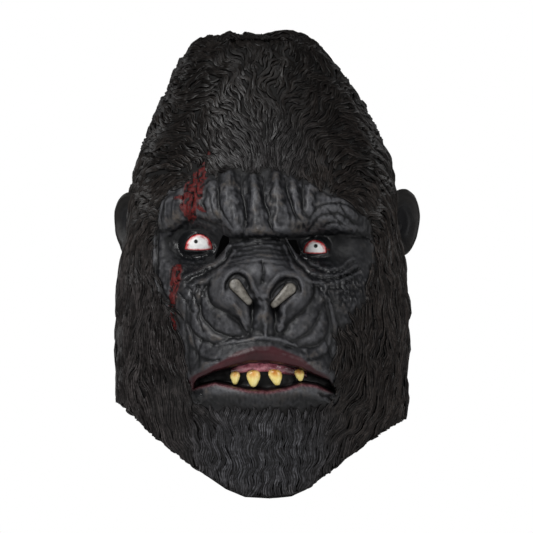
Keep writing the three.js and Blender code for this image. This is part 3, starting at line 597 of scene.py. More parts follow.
def main_lift(x, z):
    """How far the main forms of the face stand out of the plain head."""
    lift = np.zeros(np.shape(x))
    for reach, across, drop, wide, tall, edge in MASSES:
        lift += reach * mound(x / HALF_WIDTH, z, across, height_at(drop), wide, tall * WHOLE_HEIGHT, edge)
    for reach, wide, path in MAIN_LINES:
        places = np.array([(a * HALF_WIDTH, height_at(d)) for a, d in path])
        ridge(places, reach, wide, x, z, lift)
    return lift - MOUTH_DEPTH * smooth_step(0, MOUTH_EDGE, inside_mouth(x, z))


def bridge_wrinkles():
    """Wrinkles across the bridge of the nose, wider and more curved downwards."""
    for k in range(BRIDGE_WRINKLES):
        spread = 1 + 0.07 * k
        side = 3 * math.sin(2.3 * k)
        path = [(a * spread + side, d + BRIDGE_STEP * k + abs(a) * 0.03 * k) for a, d in BRIDGE_PATH]
        yield (BRIDGE_FADE * k - BRIDGE_DEPTH, 1.0, path)


def lip_creases():
    """Short upright creases of the lower lip."""
    for k in range(LIP_CREASES):
        across = CREASE_START + CREASE_STEP * k + 0.8 * math.sin(5.3 * k)
        top = (across, CREASE_TOP + 0.004 * across * across)
        bottom = (across * 1.03, CREASE_BOTTOM + 2 * math.sin(2.1 * k))
        yield (-0.6, 1.0, [top, bottom])


def fine_lift(x, z):
    """Folds, furrows and wrinkles, on lines that waver a little."""
    lift = np.zeros(np.shape(x))
    flat = np.stack((x, np.zeros(np.shape(x)), z), -1)
    x = roughened(x, flat, WAVER_ACROSS)
    z = roughened(z, flat, WAVER_UP)
    for reach, across, down, wide, tall, edge in SMALL_MASSES:
        lift += reach * mound(x, z, across, -down, wide, tall, edge)
    for reach, path in KNOBS:
        places = rounded([(a, -d, wide) for a, d, wide in path])
        lift += reach * np.exp(-distance_to(places, x, z) ** 3)
    for reach, wide, path in (*FINE_LINES, *bridge_wrinkles(), *lip_creases()):
        places = rounded([(a, -d) for a, d in path])
        ridge(places, reach, wide, x, z, lift, DEEP_SOFT if reach < DEEP_FURROW else PLAIN_SOFT)
    return lift


def eye_outline(eye, grow, steps=40):
    """Half-moon outline about the eye's middle: an arch above and a shallow sag below."""
    *_, width, height, sag = eye
    floor = -LID_LINE * height
    points = []
    for k in range(steps + 1):
        turn = math.pi * k / steps
        points.append((math.cos(turn) * (width / 2 + grow), floor + math.sin(turn) * (height + grow)))
    for k in range(1, steps):
        turn = math.pi + math.pi * k / steps
        points.append((math.cos(turn) * (width / 2 + grow), floor + math.sin(turn) * (sag + grow)))
    return points


def ball_depth(eye, x, z):
    """Depth of a lid ball's front; far behind the face beside the ball."""
    _, across, drop, ball, *_ = eye
    under = ball ** 2 - (x - across * HALF_WIDTH) ** 2 - (z - height_at(drop)) ** 2
    front = -FACE_REACH + SOCKET_DEPTH + BALL_BURY - np.sqrt(np.maximum(under, 0))
    return np.where(under > 0, front, 1e3)


def facing(angle):
    """1 in front, 0 from the sides back."""
    return smooth_step(0.1, 0.45, np.cos(angle))


def lid_rims(x, z):
    """Raised rims of the lids round the eyes' openings."""
    lift = np.zeros(np.shape(x))
    for eye in EYES:
        _, across, drop, *_ = eye
        outline = np.array(eye_outline(eye, 0.8)) + (across * HALF_WIDTH, height_at(drop))
        ridge(np.vstack((outline, outline[:1])), 1.1, 1.5, x, z, lift)
    return lift


def skin_points(angle, s, fold=0):
    """Points of the outer skin; fold is what its small folds add."""
    p = head_point(angle, s)
    x, z = p[..., 0], p[..., 2]
    p[..., 1] -= facing(angle) * (main_lift(x, z) + fold)
    front = np.cos(angle) > 0
    for eye in EYES:
        p[..., 1] = np.where(front, soft_minimum(p[..., 1], ball_depth(eye, x, z)), p[..., 1])
    p[..., 1] -= facing(angle) * lid_rims(x, z)
    return p


def soft_minimum(a, b):
    """The smaller of two depths, rounded where they meet."""
    t = np.clip(0.5 + 0.5 * (b - a) / BALL_BLEND, 0, 1)
    return b + (a - b) * t - BALL_BLEND * t * (1 - t)


def front_at(x, z):
    """Depth of the outer skin's front at a point of the front view."""
    s = row_at((WALL - z) / WHOLE_HEIGHT)
    low, high = -math.pi / 2, math.pi / 2
    for _ in range(40):
        half = (low + high) / 2
        if head_point(half, s)[0] < x:
            low = half
        else:
            high = half
    angle = np.array([(low + high) / 2])
    return float(skin_points(angle, np.array([s]))[0, 1])


def unit(vectors):
    """Vectors with their length made 1."""
    return vectors / np.maximum(1e-9, np.linalg.norm(vectors, axis=-1, keepdims=True))


def tangents(points):
    """Change of a ring grid from column to column and from row to row."""
    across = (np.roll(points, -1, 1) - np.roll(points, 1, 1)) / 2
    down = np.gradient(points, axis=0)
    return across, down


def outward(points):
    """Normals of a ring grid."""
    across, down = tangents(points)
    return unit(np.cross(down, across))


def blur(field, times):
    """A ring grid with each value mixed with its neighbours'."""
    for _ in range(times):
        field = (np.roll(field, 1, 1) + 2 * field + np.roll(field, -1, 1)) / 4
        padded = np.concatenate((field[:1], field, field[-1:]))
        field = (padded[:-2] + 2 * padded[1:-1] + padded[2:]) / 4
    return field


def lowest(field, reach):
    """A ring grid with each value lowered to its lowest neighbour's, reach cells round."""
    for _ in range(reach):
        field = np.minimum(field, np.minimum(np.roll(field, 1, 1), np.roll(field, -1, 1)))
        padded = np.concatenate((field[:1], field, field[-1:]))
        field = np.minimum(field, np.minimum(padded[:-2], padded[2:]))
    return field


def column_angles():
    """Angles from the front of the mesh's columns, close together over the face."""
    half = [0.0]
    for to, steps in COLUMN_BANDS:
        start = half[-1]
        half += [start + (to - start) * k / steps for k in range(1, steps + 1)]
    left = [-a for a in reversed(half[1:-1])]
    return np.radians(left + half)


def row_drops():
    """Drops of the mesh's rows, close together over the face."""
    drops = list(section_value("drop", FIRST_ROWS))
    for to, steps in ROW_BANDS:
        start = drops[-1]
        drops += [start + (to - start) * k / steps for k in range(1, steps + 1)]
    return np.array(drops)


def drop_on(line, angle):
    """Drop at which each direction meets a line of shares."""
    drop = np.full(angle.shape, BEND_DROP)
    for _ in range(25):
        drop = along(line, head_point(angle, row_at(drop))[..., 0] / HALF_WIDTH)
    return drop


def mesh_rows(drops, angles):
    """Rows of the section table for the mesh, bent to follow the mouth and the cut edge."""
    front = np.cos(angles) >= 0
    top = np.where(front, drop_on(MOUTH_TOP, angles), MOUTH_TOP[0][1])
    bottom = np.where(front, drop_on(MOUTH_BOTTOM, angles), MOUTH_BOTTOM[0][1])
    rim = np.where(front, drop_on(RIM_FRONT, angles), drop_on(RIM_BACK, angles))
    columns = []
    for t, b, r in zip(top, bottom, rim):
        bends = ((0, 0), (BEND_DROP, BEND_DROP), (TOP_ROW, t), (BOTTOM_ROW, b), (1, r))
        columns.append(row_at(along(bends, drops)))
    return np.stack(columns, 1)


def inside_outline(outline, x, z):
    """Whether points of the front view lie inside a closed outline."""
    inside = np.zeros(np.shape(x), bool)
    corners = np.array(outline)
    for (ax, az), (bx, bz) in zip(corners, np.roll(corners, -1, 0)):
        crosses = (az > z) != (bz > z)
        reach = ax + (z - az) * (bx - ax) / np.where(az == bz, 1, bz - az)
        inside ^= crosses & (x < reach)
    return inside


def bareness(x, z, angle):
    """Distance inside the edge of the bare face, negative outside it and behind the ears."""
    outline = rounded([(a, -d) for a, d in (*BARE_FACE, BARE_FACE[0])])
    away = distance_to(outline, x, z)
    signed = np.where(inside_outline(outline, x, z), away, -away)
    return np.where(np.cos(angle) > FACE_END, signed, FAR_OUTSIDE)


def make_object(name, points, faces, material, smooth=True, values=None):
    """An object from points in millimetres and faces, with named values at its points."""
    mesh = bpy.data.meshes.new(name)
    points = np.asarray(points, float).reshape(-1, 3)
    mesh.vertices.add(len(points))
    mesh.vertices.foreach_set("co", (points * MM).astype(np.float32).ravel())
    if isinstance(faces, np.ndarray):
        counts = np.full(len(faces), faces.shape[1])
        corners = faces.ravel()
    else:
        counts = np.array([len(f) for f in faces])
        corners = np.concatenate([np.asarray(f) for f in faces])
    starts = np.concatenate(([0], np.cumsum(counts)[:-1]))
    mesh.loops.add(len(corners))
    mesh.loops.foreach_set("vertex_index", corners.astype(np.int32))
    mesh.polygons.add(len(counts))
    mesh.polygons.foreach_set("loop_start", starts.astype(np.int32))
    mesh.update(calc_edges=True)
    mesh.polygons.foreach_set("use_smooth", np.full(len(counts), smooth))
    for key, field in (values or {}).items():
        layer = mesh.attributes.new(key, "FLOAT", "POINT")
        layer.data.foreach_set("value", np.asarray(field, np.float32).ravel())
    mesh.validate()
    mesh.materials.append(material)
    made = bpy.data.objects.new(name, mesh)
    bpy.context.scene.collection.objects.link(made)
    return made


def ring_faces(rings, count, first=0, flip=False):
    """Triangles between rings of equal count, one after the other."""
    i, j = np.meshgrid(np.arange(rings - 1), np.arange(count), indexing="ij")
    a = first + i * count + j
    b = first + i * count + (j + 1) % count
    c, d = b + count, a + count
    faces = np.concatenate((np.stack((a, d, c), -1).reshape(-1, 3), np.stack((a, c, b), -1).reshape(-1, 3)))
    return faces[:, ::-1] if flip else faces


def fan_faces(pole, first, count, flip=False):
    """Triangles between a pole and a ring."""
    j = np.arange(count)
    faces = np.stack((np.full(count, pole), first + j, first + (j + 1) % count), -1)
    return faces[:, ::-1] if flip else faces


def loft(name, first, rings, last, material, values=None):
    """A closed body from rings of points between two poles."""
    rings = np.asarray(rings, float)
    count = rings.shape[1]
    points = np.concatenate(([first], rings.reshape(-1, 3), [last]))
    tail = 1 + (len(rings) - 1) * count
    faces = np.concatenate((
        fan_faces(0, 1, count),
        ring_faces(len(rings), count, 1),
        fan_faces(len(points) - 1, tail, count, True),
    ))
    corners = points[faces]
    volume = np.einsum("ij,ij->i", corners[:, 0], np.cross(corners[:, 1], corners[:, 2])).sum()
    if volume < 0:
        faces = faces[:, ::-1]
    return make_object(name, points, np.ascontiguousarray(faces), material, values=values)


# Materials


class Paint:
    """A material's nodes, wired by short calls."""

    def __init__(self, name, **constants):
        self.material = bpy.data.materials.new(name)
        self.material.use_nodes = True
        self.tree = self.material.node_tree
        self.shader = self.tree.nodes["Principled BSDF"]
        for socket, value in constants.items():
            self.shader.inputs[socket.replace("_", " ")].default_value = value

    def add(self, kind, **settings):
        made = self.tree.nodes.new(kind)
        for key, value in settings.items():
            setattr(made, key, value)
        return made

    def link(self, start, end):
        self.tree.links.new(start, end)

    def value(self, name):
        return self.add("ShaderNodeAttribute", attribute_name=name).outputs["Fac"]

    def grain(self, scale, detail=3.0, roughness=0.55, stretch=(1, 1, 1)):
        """Noise fixed to the object; scale counts its features to a metre."""
        coordinates = self.add("ShaderNodeTexCoord")
        mapping = self.add("ShaderNodeMapping")
        mapping.inputs["Scale"].default_value = stretch
        texture = self.add("ShaderNodeTexNoise")
        texture.inputs["Scale"].default_value = scale
        texture.inputs["Detail"].default_value = detail
        texture.inputs["Roughness"].default_value = roughness
        self.link(coordinates.outputs["Object"], mapping.inputs["Vector"])
        self.link(mapping.outputs["Vector"], texture.inputs["Vector"])
        return texture.outputs["Fac"]

    def ramp(self, source, low, high, start=0.0, end=1.0):
        """Maps source from low..high to start..end."""
        made = self.add("ShaderNodeMapRange")
        made.inputs["From Min"].default_value = low
        made.inputs["From Max"].default_value = high
        made.inputs["To Min"].default_value = start
        made.inputs["To Max"].default_value = end
        self.link(source, made.inputs["Value"])
        return made.outputs["Result"]

    def times(self, a, b):
        made = self.add("ShaderNodeMath", operation="MULTIPLY")
        self.link(a, made.inputs[0])
        if isinstance(b, float):
            made.inputs[1].default_value = b
        else:
            self.link(b, made.inputs[1])
        return made.outputs["Value"]

    def mix(self, factor, a, b):
        """Colour a where factor is 0 and b where it is 1; each is a socket or three numbers."""
        made = self.add("ShaderNodeMix", data_type="RGBA")
        self.link(factor, made.inputs["Factor"])
        for socket, colour in ((made.inputs[6], a), (made.inputs[7], b)):
            if isinstance(colour, tuple):
                socket.default_value = (*colour, 1)
            else:
                self.link(colour, socket)
        return made.outputs[2]

    def blend(self, factor, a, b):
        """Number a where factor is 0 and b where it is 1."""
        made = self.add("ShaderNodeMix", data_type="FLOAT")
        self.link(factor, made.inputs["Factor"])
        for socket, number in ((made.inputs[2], a), (made.inputs[3], b)):
            if isinstance(number, float):
                socket.default_value = number
            else:
                self.link(number, socket)
        return made.outputs[0]

    def bump(self, height, distance, strength=1.0):
        made = self.add("ShaderNodeBump")
        made.inputs["Distance"].default_value = distance
        made.inputs["Strength"].default_value = strength
        self.link(height, made.inputs["Height"])
        self.link(made.outputs["Normal"], self.shader.inputs["Normal"])

    def colour(self, socket):
        self.link(socket, self.shader.inputs["Base Color"])

    def roughness(self, socket):
        self.link(socket, self.shader.inputs["Roughness"])


def skin_paint():
    """Black latex: folds darkened with painted shade, ridges lightened grey by dry brush and painted
    highlight, maroon lips, a red wound and a dull lining.
    """
    p = Paint("latex_skin_paint", IOR=1.45, Specular_IOR_Level=0.3)
    patches = p.grain(38, 4)
    fine = p.grain(420, 4, 0.6)
    brown = p.grain(75, 3)
    relief = p.value("relief")
    body = p.mix(p.ramp(patches, 0.35, 0.65), (0.009, 0.0091, 0.0106), (0.0175, 0.0178, 0.0203))
    crest = p.mix(p.ramp(brown, 0.5, 0.7), (0.067, 0.0675, 0.0735), (0.074, 0.062, 0.052))
    # Ridges lighten to grey: partly dry-brushed paint, partly painted highlight
    body = p.mix(p.times(p.ramp(relief, 0.05, 1.0), p.ramp(fine, 0.3, 0.6, 0.35, 1.0)), body, crest)
    # Painted shade: folds and hollows darken towards near black
    body = p.mix(p.ramp(relief, -0.1, -0.7), body, (0.003, 0.0032, 0.0038))
    # Painted shade: darker patches under the brows, beside the eyes, muzzle and mouth, on the lower lip and
    # at the face's top edge
    body = p.mix(p.times(p.value("painted_shade"), 0.75), body, (0.0042, 0.0044, 0.0052))
    lip = p.mix(p.ramp(patches, 0.3, 0.7), (0.016, 0.0036, 0.005), (0.046, 0.0085, 0.012))
    lip_edge = p.mix(p.ramp(fine, 0.4, 0.6), (0.06, 0.014, 0.02), (0.16, 0.06, 0.07))
    wound = p.mix(p.ramp(fine, 0.36, 0.62), (0.022, 0.0008, 0.0008), (0.095, 0.0025, 0.002))
    # Painted shade in the wound's cracks and hollows
    wound = p.mix(p.ramp(relief, 0.1, -0.4), wound, (0.004, 0.0007, 0.0007))
    colours = {
        "gloss": (0.005, 0.0053, 0.0062),
        # Under the hair the skin is near black: painted shade in the gaps between the locks
        "hair": (0.0024, 0.0021, 0.002),
        "lip": lip,
        "lip_edge": lip_edge,
        "wound": wound,
        # Painted shade: the mouth's recess is near black
        "mouth": (0.003, 0.0027, 0.003),
        "lining": (0.012, 0.012, 0.0125),
    }
    for name, colour in colours.items():
        body = p.mix(p.value(name), body, colour)
    p.colour(body)
    rough = p.ramp(fine, 0.3, 0.7, 0.36, 0.52)
    dullness = {"gloss": 0.17, "hair": 0.8, "painted_shade": 0.6, "wound": 0.6, "lip": 0.4, "lining": 0.75}
    for name, amount in dullness.items():
        rough = p.blend(p.value(name), rough, amount)
    p.roughness(rough)
    p.bump(fine, 0.0005, 0.5)
    return p.material


def hair_paint():
    """Moulded hair: near black; crests brown-grey, partly dry brush and partly painted highlight, dimmed at
    the crown; bluer where pale.
    """
    p = Paint("latex_hair_paint", IOR=1.45, Specular_IOR_Level=0.19)
    strands = p.grain(260, 3, 0.6)
    low = p.mix(p.value("tint"), (0.0016, 0.0013, 0.0012), (0.003, 0.0026, 0.0024))
    high = p.mix(p.value("tint"), (0.0165, 0.0128, 0.0112), (0.06, 0.048, 0.042))
    pale = p.mix(p.value("tint"), (0.032, 0.0325, 0.037), (0.17, 0.172, 0.19))
    high = p.mix(p.value("pale"), high, pale)
    # Painted shade: the crests' lighter colour is dimmed towards the crown, which faces the light from above
    high = p.mix(p.value("crest_strength"), low, high)
    # The crests' lighter colour is partly dry-brushed paint and partly painted highlight
    lit = p.times(p.ramp(p.value("crest"), 0.3, 0.95), p.ramp(strands, 0.3, 0.6, 0.15, 1.0))
    p.colour(p.mix(lit, low, high))
    p.roughness(p.ramp(strands, 0.3, 0.7, 0.28, 0.42))
    p.bump(p.grain(700, 2), 0.0002, 0.5)
    return p.material


def ear_paint():
    """Plain black latex, with painted shade darkening the hollow."""
    p = Paint("latex_ear_paint", IOR=1.45, Specular_IOR_Level=0.3)
    patches = p.grain(60, 4)
    body = p.mix(p.ramp(patches, 0.35, 0.65), (0.006, 0.0054, 0.005), (0.012, 0.0108, 0.01))
    # Painted shade in the ear's hollow
    p.colour(p.mix(p.ramp(p.value("hollow"), 0.2, 0.9), body, (0.004, 0.004, 0.005)))
    p.roughness(p.ramp(patches, 0.3, 0.7, 0.42, 0.55))
    p.bump(p.grain(500, 3), 0.0003, 0.5)
    return p.material


def eye_paint():
    """White with a black pupil and a ragged red rim."""
    p = Paint("eye_white_paint", IOR=1.4, Specular_IOR_Level=0.25)
    patches = p.grain(260, 3)
    white = p.mix(p.ramp(patches, 0.35, 0.65), (0.66, 0.66, 0.66), (0.8, 0.8, 0.79))
    red = p.mix(p.ramp(patches, 0.35, 0.62), (0.42, 0.018, 0.025), (0.66, 0.12, 0.12))
    edge = p.value("edge")
    ragged = p.blend(p.ramp(patches, 0.3, 0.7), p.ramp(edge, 0.64, 0.78), p.ramp(edge, 0.82, 0.9))
    body = p.mix(ragged, white, red)
    p.colour(p.mix(p.value("pupil"), body, (0.004, 0.004, 0.004)))
    p.roughness(p.blend(p.value("pupil"), p.ramp(patches, 0.3, 0.7, 0.24, 0.36), 0.6))
    return p.material


def gum_paint():
    """Wet rose, dark at the far ends."""
    p = Paint("gum_rose_paint", IOR=1.45, Coat_Weight=0.8, Coat_Roughness=0.1)
    patches = p.grain(180, 4)
    body = p.mix(p.ramp(patches, 0.36, 0.64), (0.22, 0.04, 0.065), (0.62, 0.22, 0.27))
    p.colour(p.mix(p.value("far"), body, (0.045, 0.008, 0.013)))
    p.roughness(p.ramp(patches, 0.3, 0.7, 0.2, 0.34))
    p.bump(p.grain(420, 2), 0.0006, 0.8)
    return p.material


def tooth_paint():
    """Yellow teeth that turn orange-brown towards the gum."""
    p = Paint("tooth_yellow_paint", IOR=1.5, Coat_Weight=0.35, Coat_Roughness=0.15)
    streaks = p.grain(240, 4, 0.6, (1, 1, 0.35))
    body = p.mix(p.ramp(streaks, 0.35, 0.65), (0.8, 0.62, 0.16), (0.9, 0.79, 0.35))
    root = p.mix(p.ramp(streaks, 0.4, 0.62), (0.5, 0.17, 0.02), (0.8, 0.42, 0.1))
    p.colour(p.mix(p.value("root"), body, root))
    p.roughness(p.ramp(streaks, 0.3, 0.7, 0.28, 0.4))
    return p.material


def pad_paint():
    """Worn grey-beige plugs in the nostrils, their edges darkened with painted shade."""
    p = Paint("nostril_grey_paint", IOR=1.45)
    patches = p.grain(300, 5, 0.65)
    body = p.mix(p.ramp(patches, 0.35, 0.65), (0.062, 0.056, 0.047), (0.17, 0.158, 0.137))
    # Painted shade at the pad's edge
    p.colour(p.mix(p.value("edge"), body, (0.028, 0.025, 0.021)))
    p.roughness(p.ramp(patches, 0.3, 0.7, 0.3, 0.5))
    p.bump(p.grain(500, 3), 0.0003, 0.5)
    return p.material


def floor_paint():
    """Plain pale ground."""
    p = Paint("floor_paint")
    p.colour(p.mix(p.ramp(p.grain(3, 2), 0.3, 0.7), (0.9, 0.9, 0.9), (0.93, 0.93, 0.93)))
    p.roughness(p.ramp(p.grain(8, 2), 0.3, 0.7, 0.75, 0.85))
    return p.material


# Skin

angles = column_angles()
drops = row_drops()
rows = mesh_rows(drops, angles)
angle_grid = np.broadcast_to(angles, rows.shape)


def near_scar(x, z):
    """Distance from the wounds' middle lines in half widths: 0 on a line, 1 at the wound's edge."""
    away = np.full(np.shape(x), np.inf)
    for scar in SCARS:
        path = np.array([(a, -d, wide) for a, d, wide in scar], float)
        away = np.minimum(away, distance_to(path, x, z))
    return away


def leather(points, x, z, bare):
    """Grain of the bare face: pebbled on the right cheek, upright on brow and chin, calm on the nose."""
    brow = smooth_step(-176, -166, z) * bare
    nose = mound(x, z, 0, -222, 46, 34, 6)
    pebbled = mound(x, z, 66, -216, 24, 20, 4)
    grain = roughened(0, points, ((0.22, 3.4, 0), (0.1 + 0.8 * pebbled, 2.4, 50)))
    upright = 0.5 * noise.at(points * (1, 1, 0.28), 2.2)
    chin = smooth_step(307, 316, -z) * (1 - smooth_step(50, 66, np.abs(x - 2)))
    return bare * (1 - 0.7 * nose) * (grain + upright * (0.25 + 0.75 * brow + 1.3 * chin))


def hair_clumps(points, x, z, bare):
    """Clumps under the locks, larger at the crown, with the tufts of its outline."""
    crown = 1 - smooth_step(0.0, 0.12, (WALL - z) / WHOLE_HEIGHT)
    clumps = roughened(0, points, ((1.4 + 1.2 * crown, 15, 0), (0.8 + 1.9 * crown, 7, 70)))
    for across, wide, rise in TUFTS:
        clumps = clumps + rise * crown * bell(x, across, wide)
    return (1 - bare) * np.maximum(clumps - 0.9, -0.9)


def torn_flesh(points, wound):
    """Raised flesh of the wounds, split by cracks."""
    flesh = 0.4 + 1.6 * noise.at(points * (1, 1, 0.35) + 9, 2.6)
    crack = -1.9 * bell(noise.at(points * (1, 1, 0.6) + 33, 6.5), 0, 0.07)
    return wound * (flesh + crack)


def relief_of(points, normal):
    """How far each place stands above its surroundings, from -1 to 1."""
    small = ((points - blur(points, 3)) * normal).sum(-1)
    large = ((points - blur(points, 16)) * normal).sum(-1)
    return np.clip(small / FINE_RELIEF + large / BROAD_RELIEF, -1, 1)


def surface():
    """The outer skin as a grid of points, with the named values that its paint reads."""
    plain = head_point(angle_grid, rows)
    x, z = plain[..., 0], plain[..., 2]
    ahead = facing(angle_grid)
    points = skin_points(angle_grid, rows, fine_lift(x, z))
    normal = outward(blur(points, 1))
    bare = smooth_step(-4, 4, bareness(x, z, angle_grid) + roughened(0, points, HAIRLINE_RAGS))
    wound = (1 - smooth_step(0.85, 1.15, roughened(near_scar(x, z), points, WOUND_RAGS))) * ahead
    offset = leather(points, x, z, bare) + hair_clumps(points, x, z, bare) + torn_flesh(points, wound)
    points = points + normal * offset[..., None]
    normal = outward(points)
    values = {
        "relief": relief_of(points, normal) * ahead,
        "hair": 1 - bare,
        "gloss": patches_at(GLOSS, x, z) * bare,
        "lip": lip_at(x, z) * ahead,
        "lip_edge": lip_edge_at(x, z) * ahead,
        "painted_shade": patches_at(PAINTED_SHADE, x, z) * bare,
        "wound": wound,
        "mouth": smooth_step(-0.5, 2.5, inside_mouth(x, z)) * ahead,
    }
    return points, normal, values


def patches_at(patches, x, z):
    """Strongest of some round patches: across, down, half width, half height and amount."""
    strongest = np.zeros(np.shape(x))
    for across, down, wide, tall, amount in patches:
        away = np.hypot((x - across) / wide, (z + down) / tall)
        strongest = np.maximum(strongest, amount * (1 - smooth_step(0.7, 1.2, away)))
    return strongest


def lip_at(x, z):
    """The painted upper lip, between its upper line and the mouth."""
    top = -along(LIP_TOP, x) - z
    bottom = z - height_at(along(MOUTH_BOTTOM, x / HALF_WIDTH))
    sides = np.minimum(x + 66, 62 - x)
    return smooth_step(-1, 1.5, top) * smooth_step(-1.5, 0, bottom) * smooth_step(0, 8, sides)


def lip_edge_at(x, z):
    """The thin rosy rim of the lower lip."""
    below = height_at(along(MOUTH_BOTTOM, x / HALF_WIDTH)) - z
    return 0.85 * bell(below, 0.5, 1.3) * (1 - smooth_step(40, 60, np.abs(x - 2)))


def lining_points():
    """The inside of the wall on a coarser grid, behind the deepest folds."""
    plain = head_point(angle_grid, rows)
    fold = blur(lowest(np.minimum(fine_lift(plain[..., 0], plain[..., 2]), 0), 4), 6)
    points = skin_points(angle_grid, rows, fold)
    points = points - outward(points) * WALL
    picked = np.append(np.arange(0, len(points) - 1, LINING_STEP), len(points) - 1)
    return points[picked][:, ::LINING_STEP]


def build_skin(points, values, material):
    """The wall: outer grid, lining and the cut edge that joins them."""
    inner = lining_points()
    count, inner_count = points.shape[1], inner.shape[1]
    crown_x, crown_y, _ = head_point(np.array(0.0), np.array(0.0))
    outer_total, inner_total = points.shape[0] * count, inner.shape[0] * inner_count
    first_inner = 1 + outer_total
    inner_pole = first_inner + inner_total
    top, under = [(crown_x, crown_y, WALL)], [(crown_x, crown_y, 0)]
    places = np.concatenate((top, points.reshape(-1, 3), inner.reshape(-1, 3), under))
    outer_rim = 1 + outer_total - count
    inner_rim = first_inner + inner_total - inner_count
    edge = []
    for k in range(inner_count):
        after = inner_rim + (k + 1) % inner_count
        outer = [outer_rim + (LINING_STEP * k + j) % count for j in range(LINING_STEP + 1)]
        for j in range(LINING_STEP):
            edge.append((outer[j], inner_rim + k, outer[j + 1]))
        edge.append((outer[-1], inner_rim + k, after))
    faces = np.concatenate((
        fan_faces(0, 1, count),
        ring_faces(points.shape[0], count, 1),
        np.array(edge),
        ring_faces(inner.shape[0], inner_count, first_inner, True),
        fan_faces(inner_pole, first_inner, inner_count, True),
    ))
    fields = {}
    for key, field in values.items():
        crown = [field[0].mean()]
        fields[key] = np.concatenate((crown, field.ravel(), np.zeros(inner_total + 1)))
    fields["lining"] = np.concatenate((np.zeros(1 + outer_total), np.ones(inner_total + 1)))
    return make_object("skin", places, np.ascontiguousarray(faces), material, values=fields)


def prism(outline):
    """Points and faces of a prism along the depth with an outline of across and up."""
    outline = np.array(outline, float)
    after = np.roll(outline, -1, 0)
    if (outline[:, 0] * after[:, 1] - after[:, 0] * outline[:, 1]).sum() > 0:
        outline = outline[::-1]
    count = len(outline)
    ends = [
        np.column_stack((outline[:, 0], np.full(count, depth), outline[:, 1]))
        for depth in (CUT_FRONT, CUT_BACK)
    ]
    sides = [(k, (k + 1) % count, (k + 1) % count + count, k + count) for k in range(count)]
    return np.concatenate(ends), [tuple(range(count))[::-1], tuple(range(count, 2 * count)), *sides]


def pad_outline(pad, grow, steps=12):
    """Round ends of two sizes joined by straight sides."""
    (ax, az), (bx, bz) = ((a * HALF_WIDTH, height_at(d)) for a, d in pad[1:])
    way = math.atan2(bz - az, bx - ax)
    points = []
    for x, z, radius, start in ((ax, az, PAD_WIDE, math.pi / 2), (bx, bz, PAD_NARROW, -math.pi / 2)):
        for k in range(steps + 1):
            turn = way + start + math.pi * k / steps
            points.append((x + math.cos(turn) * (radius + grow), z + math.sin(turn) * (radius + grow)))
    return points


def cut_openings(skin):
    """Cuts the eyes, the sight slots and the nostrils' holes through the wall."""
    outlines = [pad_outline(pad, CLEARANCE) for pad in PADS]
    for across, drop, outline in SLOTS:
        outlines.append([(across * HALF_WIDTH + x, height_at(drop) + z) for x, z in outline])
    for eye in EYES:
        cx, cz = eye[1] * HALF_WIDTH, height_at(eye[2])
        outlines.append([(cx + x, cz + z) for x, z in eye_outline(eye, CLEARANCE)])
    places, faces, total = [], [], 0
    for outline in outlines:
        points, sides = prism(outline)
        places.append(points)
        faces += [tuple(total + k for k in face) for face in sides]
        total += len(points)
    cutter = make_object("cutter", np.concatenate(places), faces, skin.data.materials[0])
    cut = skin.modifiers.new("openings", "BOOLEAN")
    cut.operation = "DIFFERENCE"
    cut.solver = "MANIFOLD"
    cut.object = cutter
    bpy.context.view_layer.update()
    made = bpy.data.meshes.new_from_object(skin.evaluated_get(bpy.context.evaluated_depsgraph_get()))
    skin.modifiers.clear()
    skin.data = made
    bpy.data.objects.remove(cutter)
    made.set_sharp_from_angle(angle=math.radians(SHARP_ANGLE))


skin_material = skin_paint()
skin_grid, skin_normals, skin_values = surface()
skin = build_skin(skin_grid, skin_values, skin_material)
cut_openings(skin)


# Ears


def build_ear(ear, material):
    """A flat oval with a rolled rim and a hollow, embedded in the side of the head."""
    name, side, out, drop, back = ear
    at = head_point(np.array(side * math.pi / 2), row_at(drop))
    turn = side * math.radians(90 - EAR_TURN)
    rings, count = 34, 64
    latitude = np.linspace(0, math.pi, rings + 2)[1:-1, None]
    longitude = np.linspace(0, 2 * math.pi, count, endpoint=False)[None, :]
    across = np.sin(latitude) * np.cos(longitude)
    up = np.sin(latitude) * np.sin(longitude)
    through = -np.cos(latitude) * np.ones_like(longitude)
    out_from = np.hypot(across, up)
    front = (through < 0).astype(float)
    hollow = (1 - smooth_step(0.35, 0.85, out_from)) * front
    roll = bell(out_from, 0.9, 0.1) * front
    inner_fold = bell(out_from, 0.55, 0.09) * front * smooth_step(-0.2, 0.5, up)
    tragus = mound(across, up, -side * 0.35, -0.15, 0.2, 0.16, 2) * front
    thick = through * EAR_THICK / 2 + EAR_DISH * hollow - 1.2 * roll - 2.0 * inner_fold - 5 * tragus
    deep = across * (0.82 + 0.18 * up) * EAR_DEEP / 2
    local_x = deep * math.cos(turn) - thick * math.sin(turn)
    local_y = deep * math.sin(turn) + thick * math.cos(turn)
    height = at[2] + up * EAR_HEIGHT / 2
    points = np.stack((at[0] + side * out + local_x, at[1] + back + local_y, height), -1)
    points = points + 0.35 * noise.at(points, 5)[..., None]
    values = np.concatenate(([1], hollow.ravel(), [0]))
    return loft(name, points[0].mean(0), points, points[-1].mean(0), material, {"hollow": values})


ear_material = ear_paint()
ears = [build_ear(ear, ear_material) for ear in EARS]


# Hair: each lock is a closed tapered body with two strands along it, and follows the skin

# Steps along a lock and its width at each, from root to tip
LOCK_STEPS = np.array((0, 0.07, 0.2, 0.34, 0.48, 0.62, 0.76, 0.9, 1.0))
LOCK_WIDTHS = np.array((0, 0.6, 0.9, 1.0, 0.97, 0.86, 0.66, 0.38, 0))

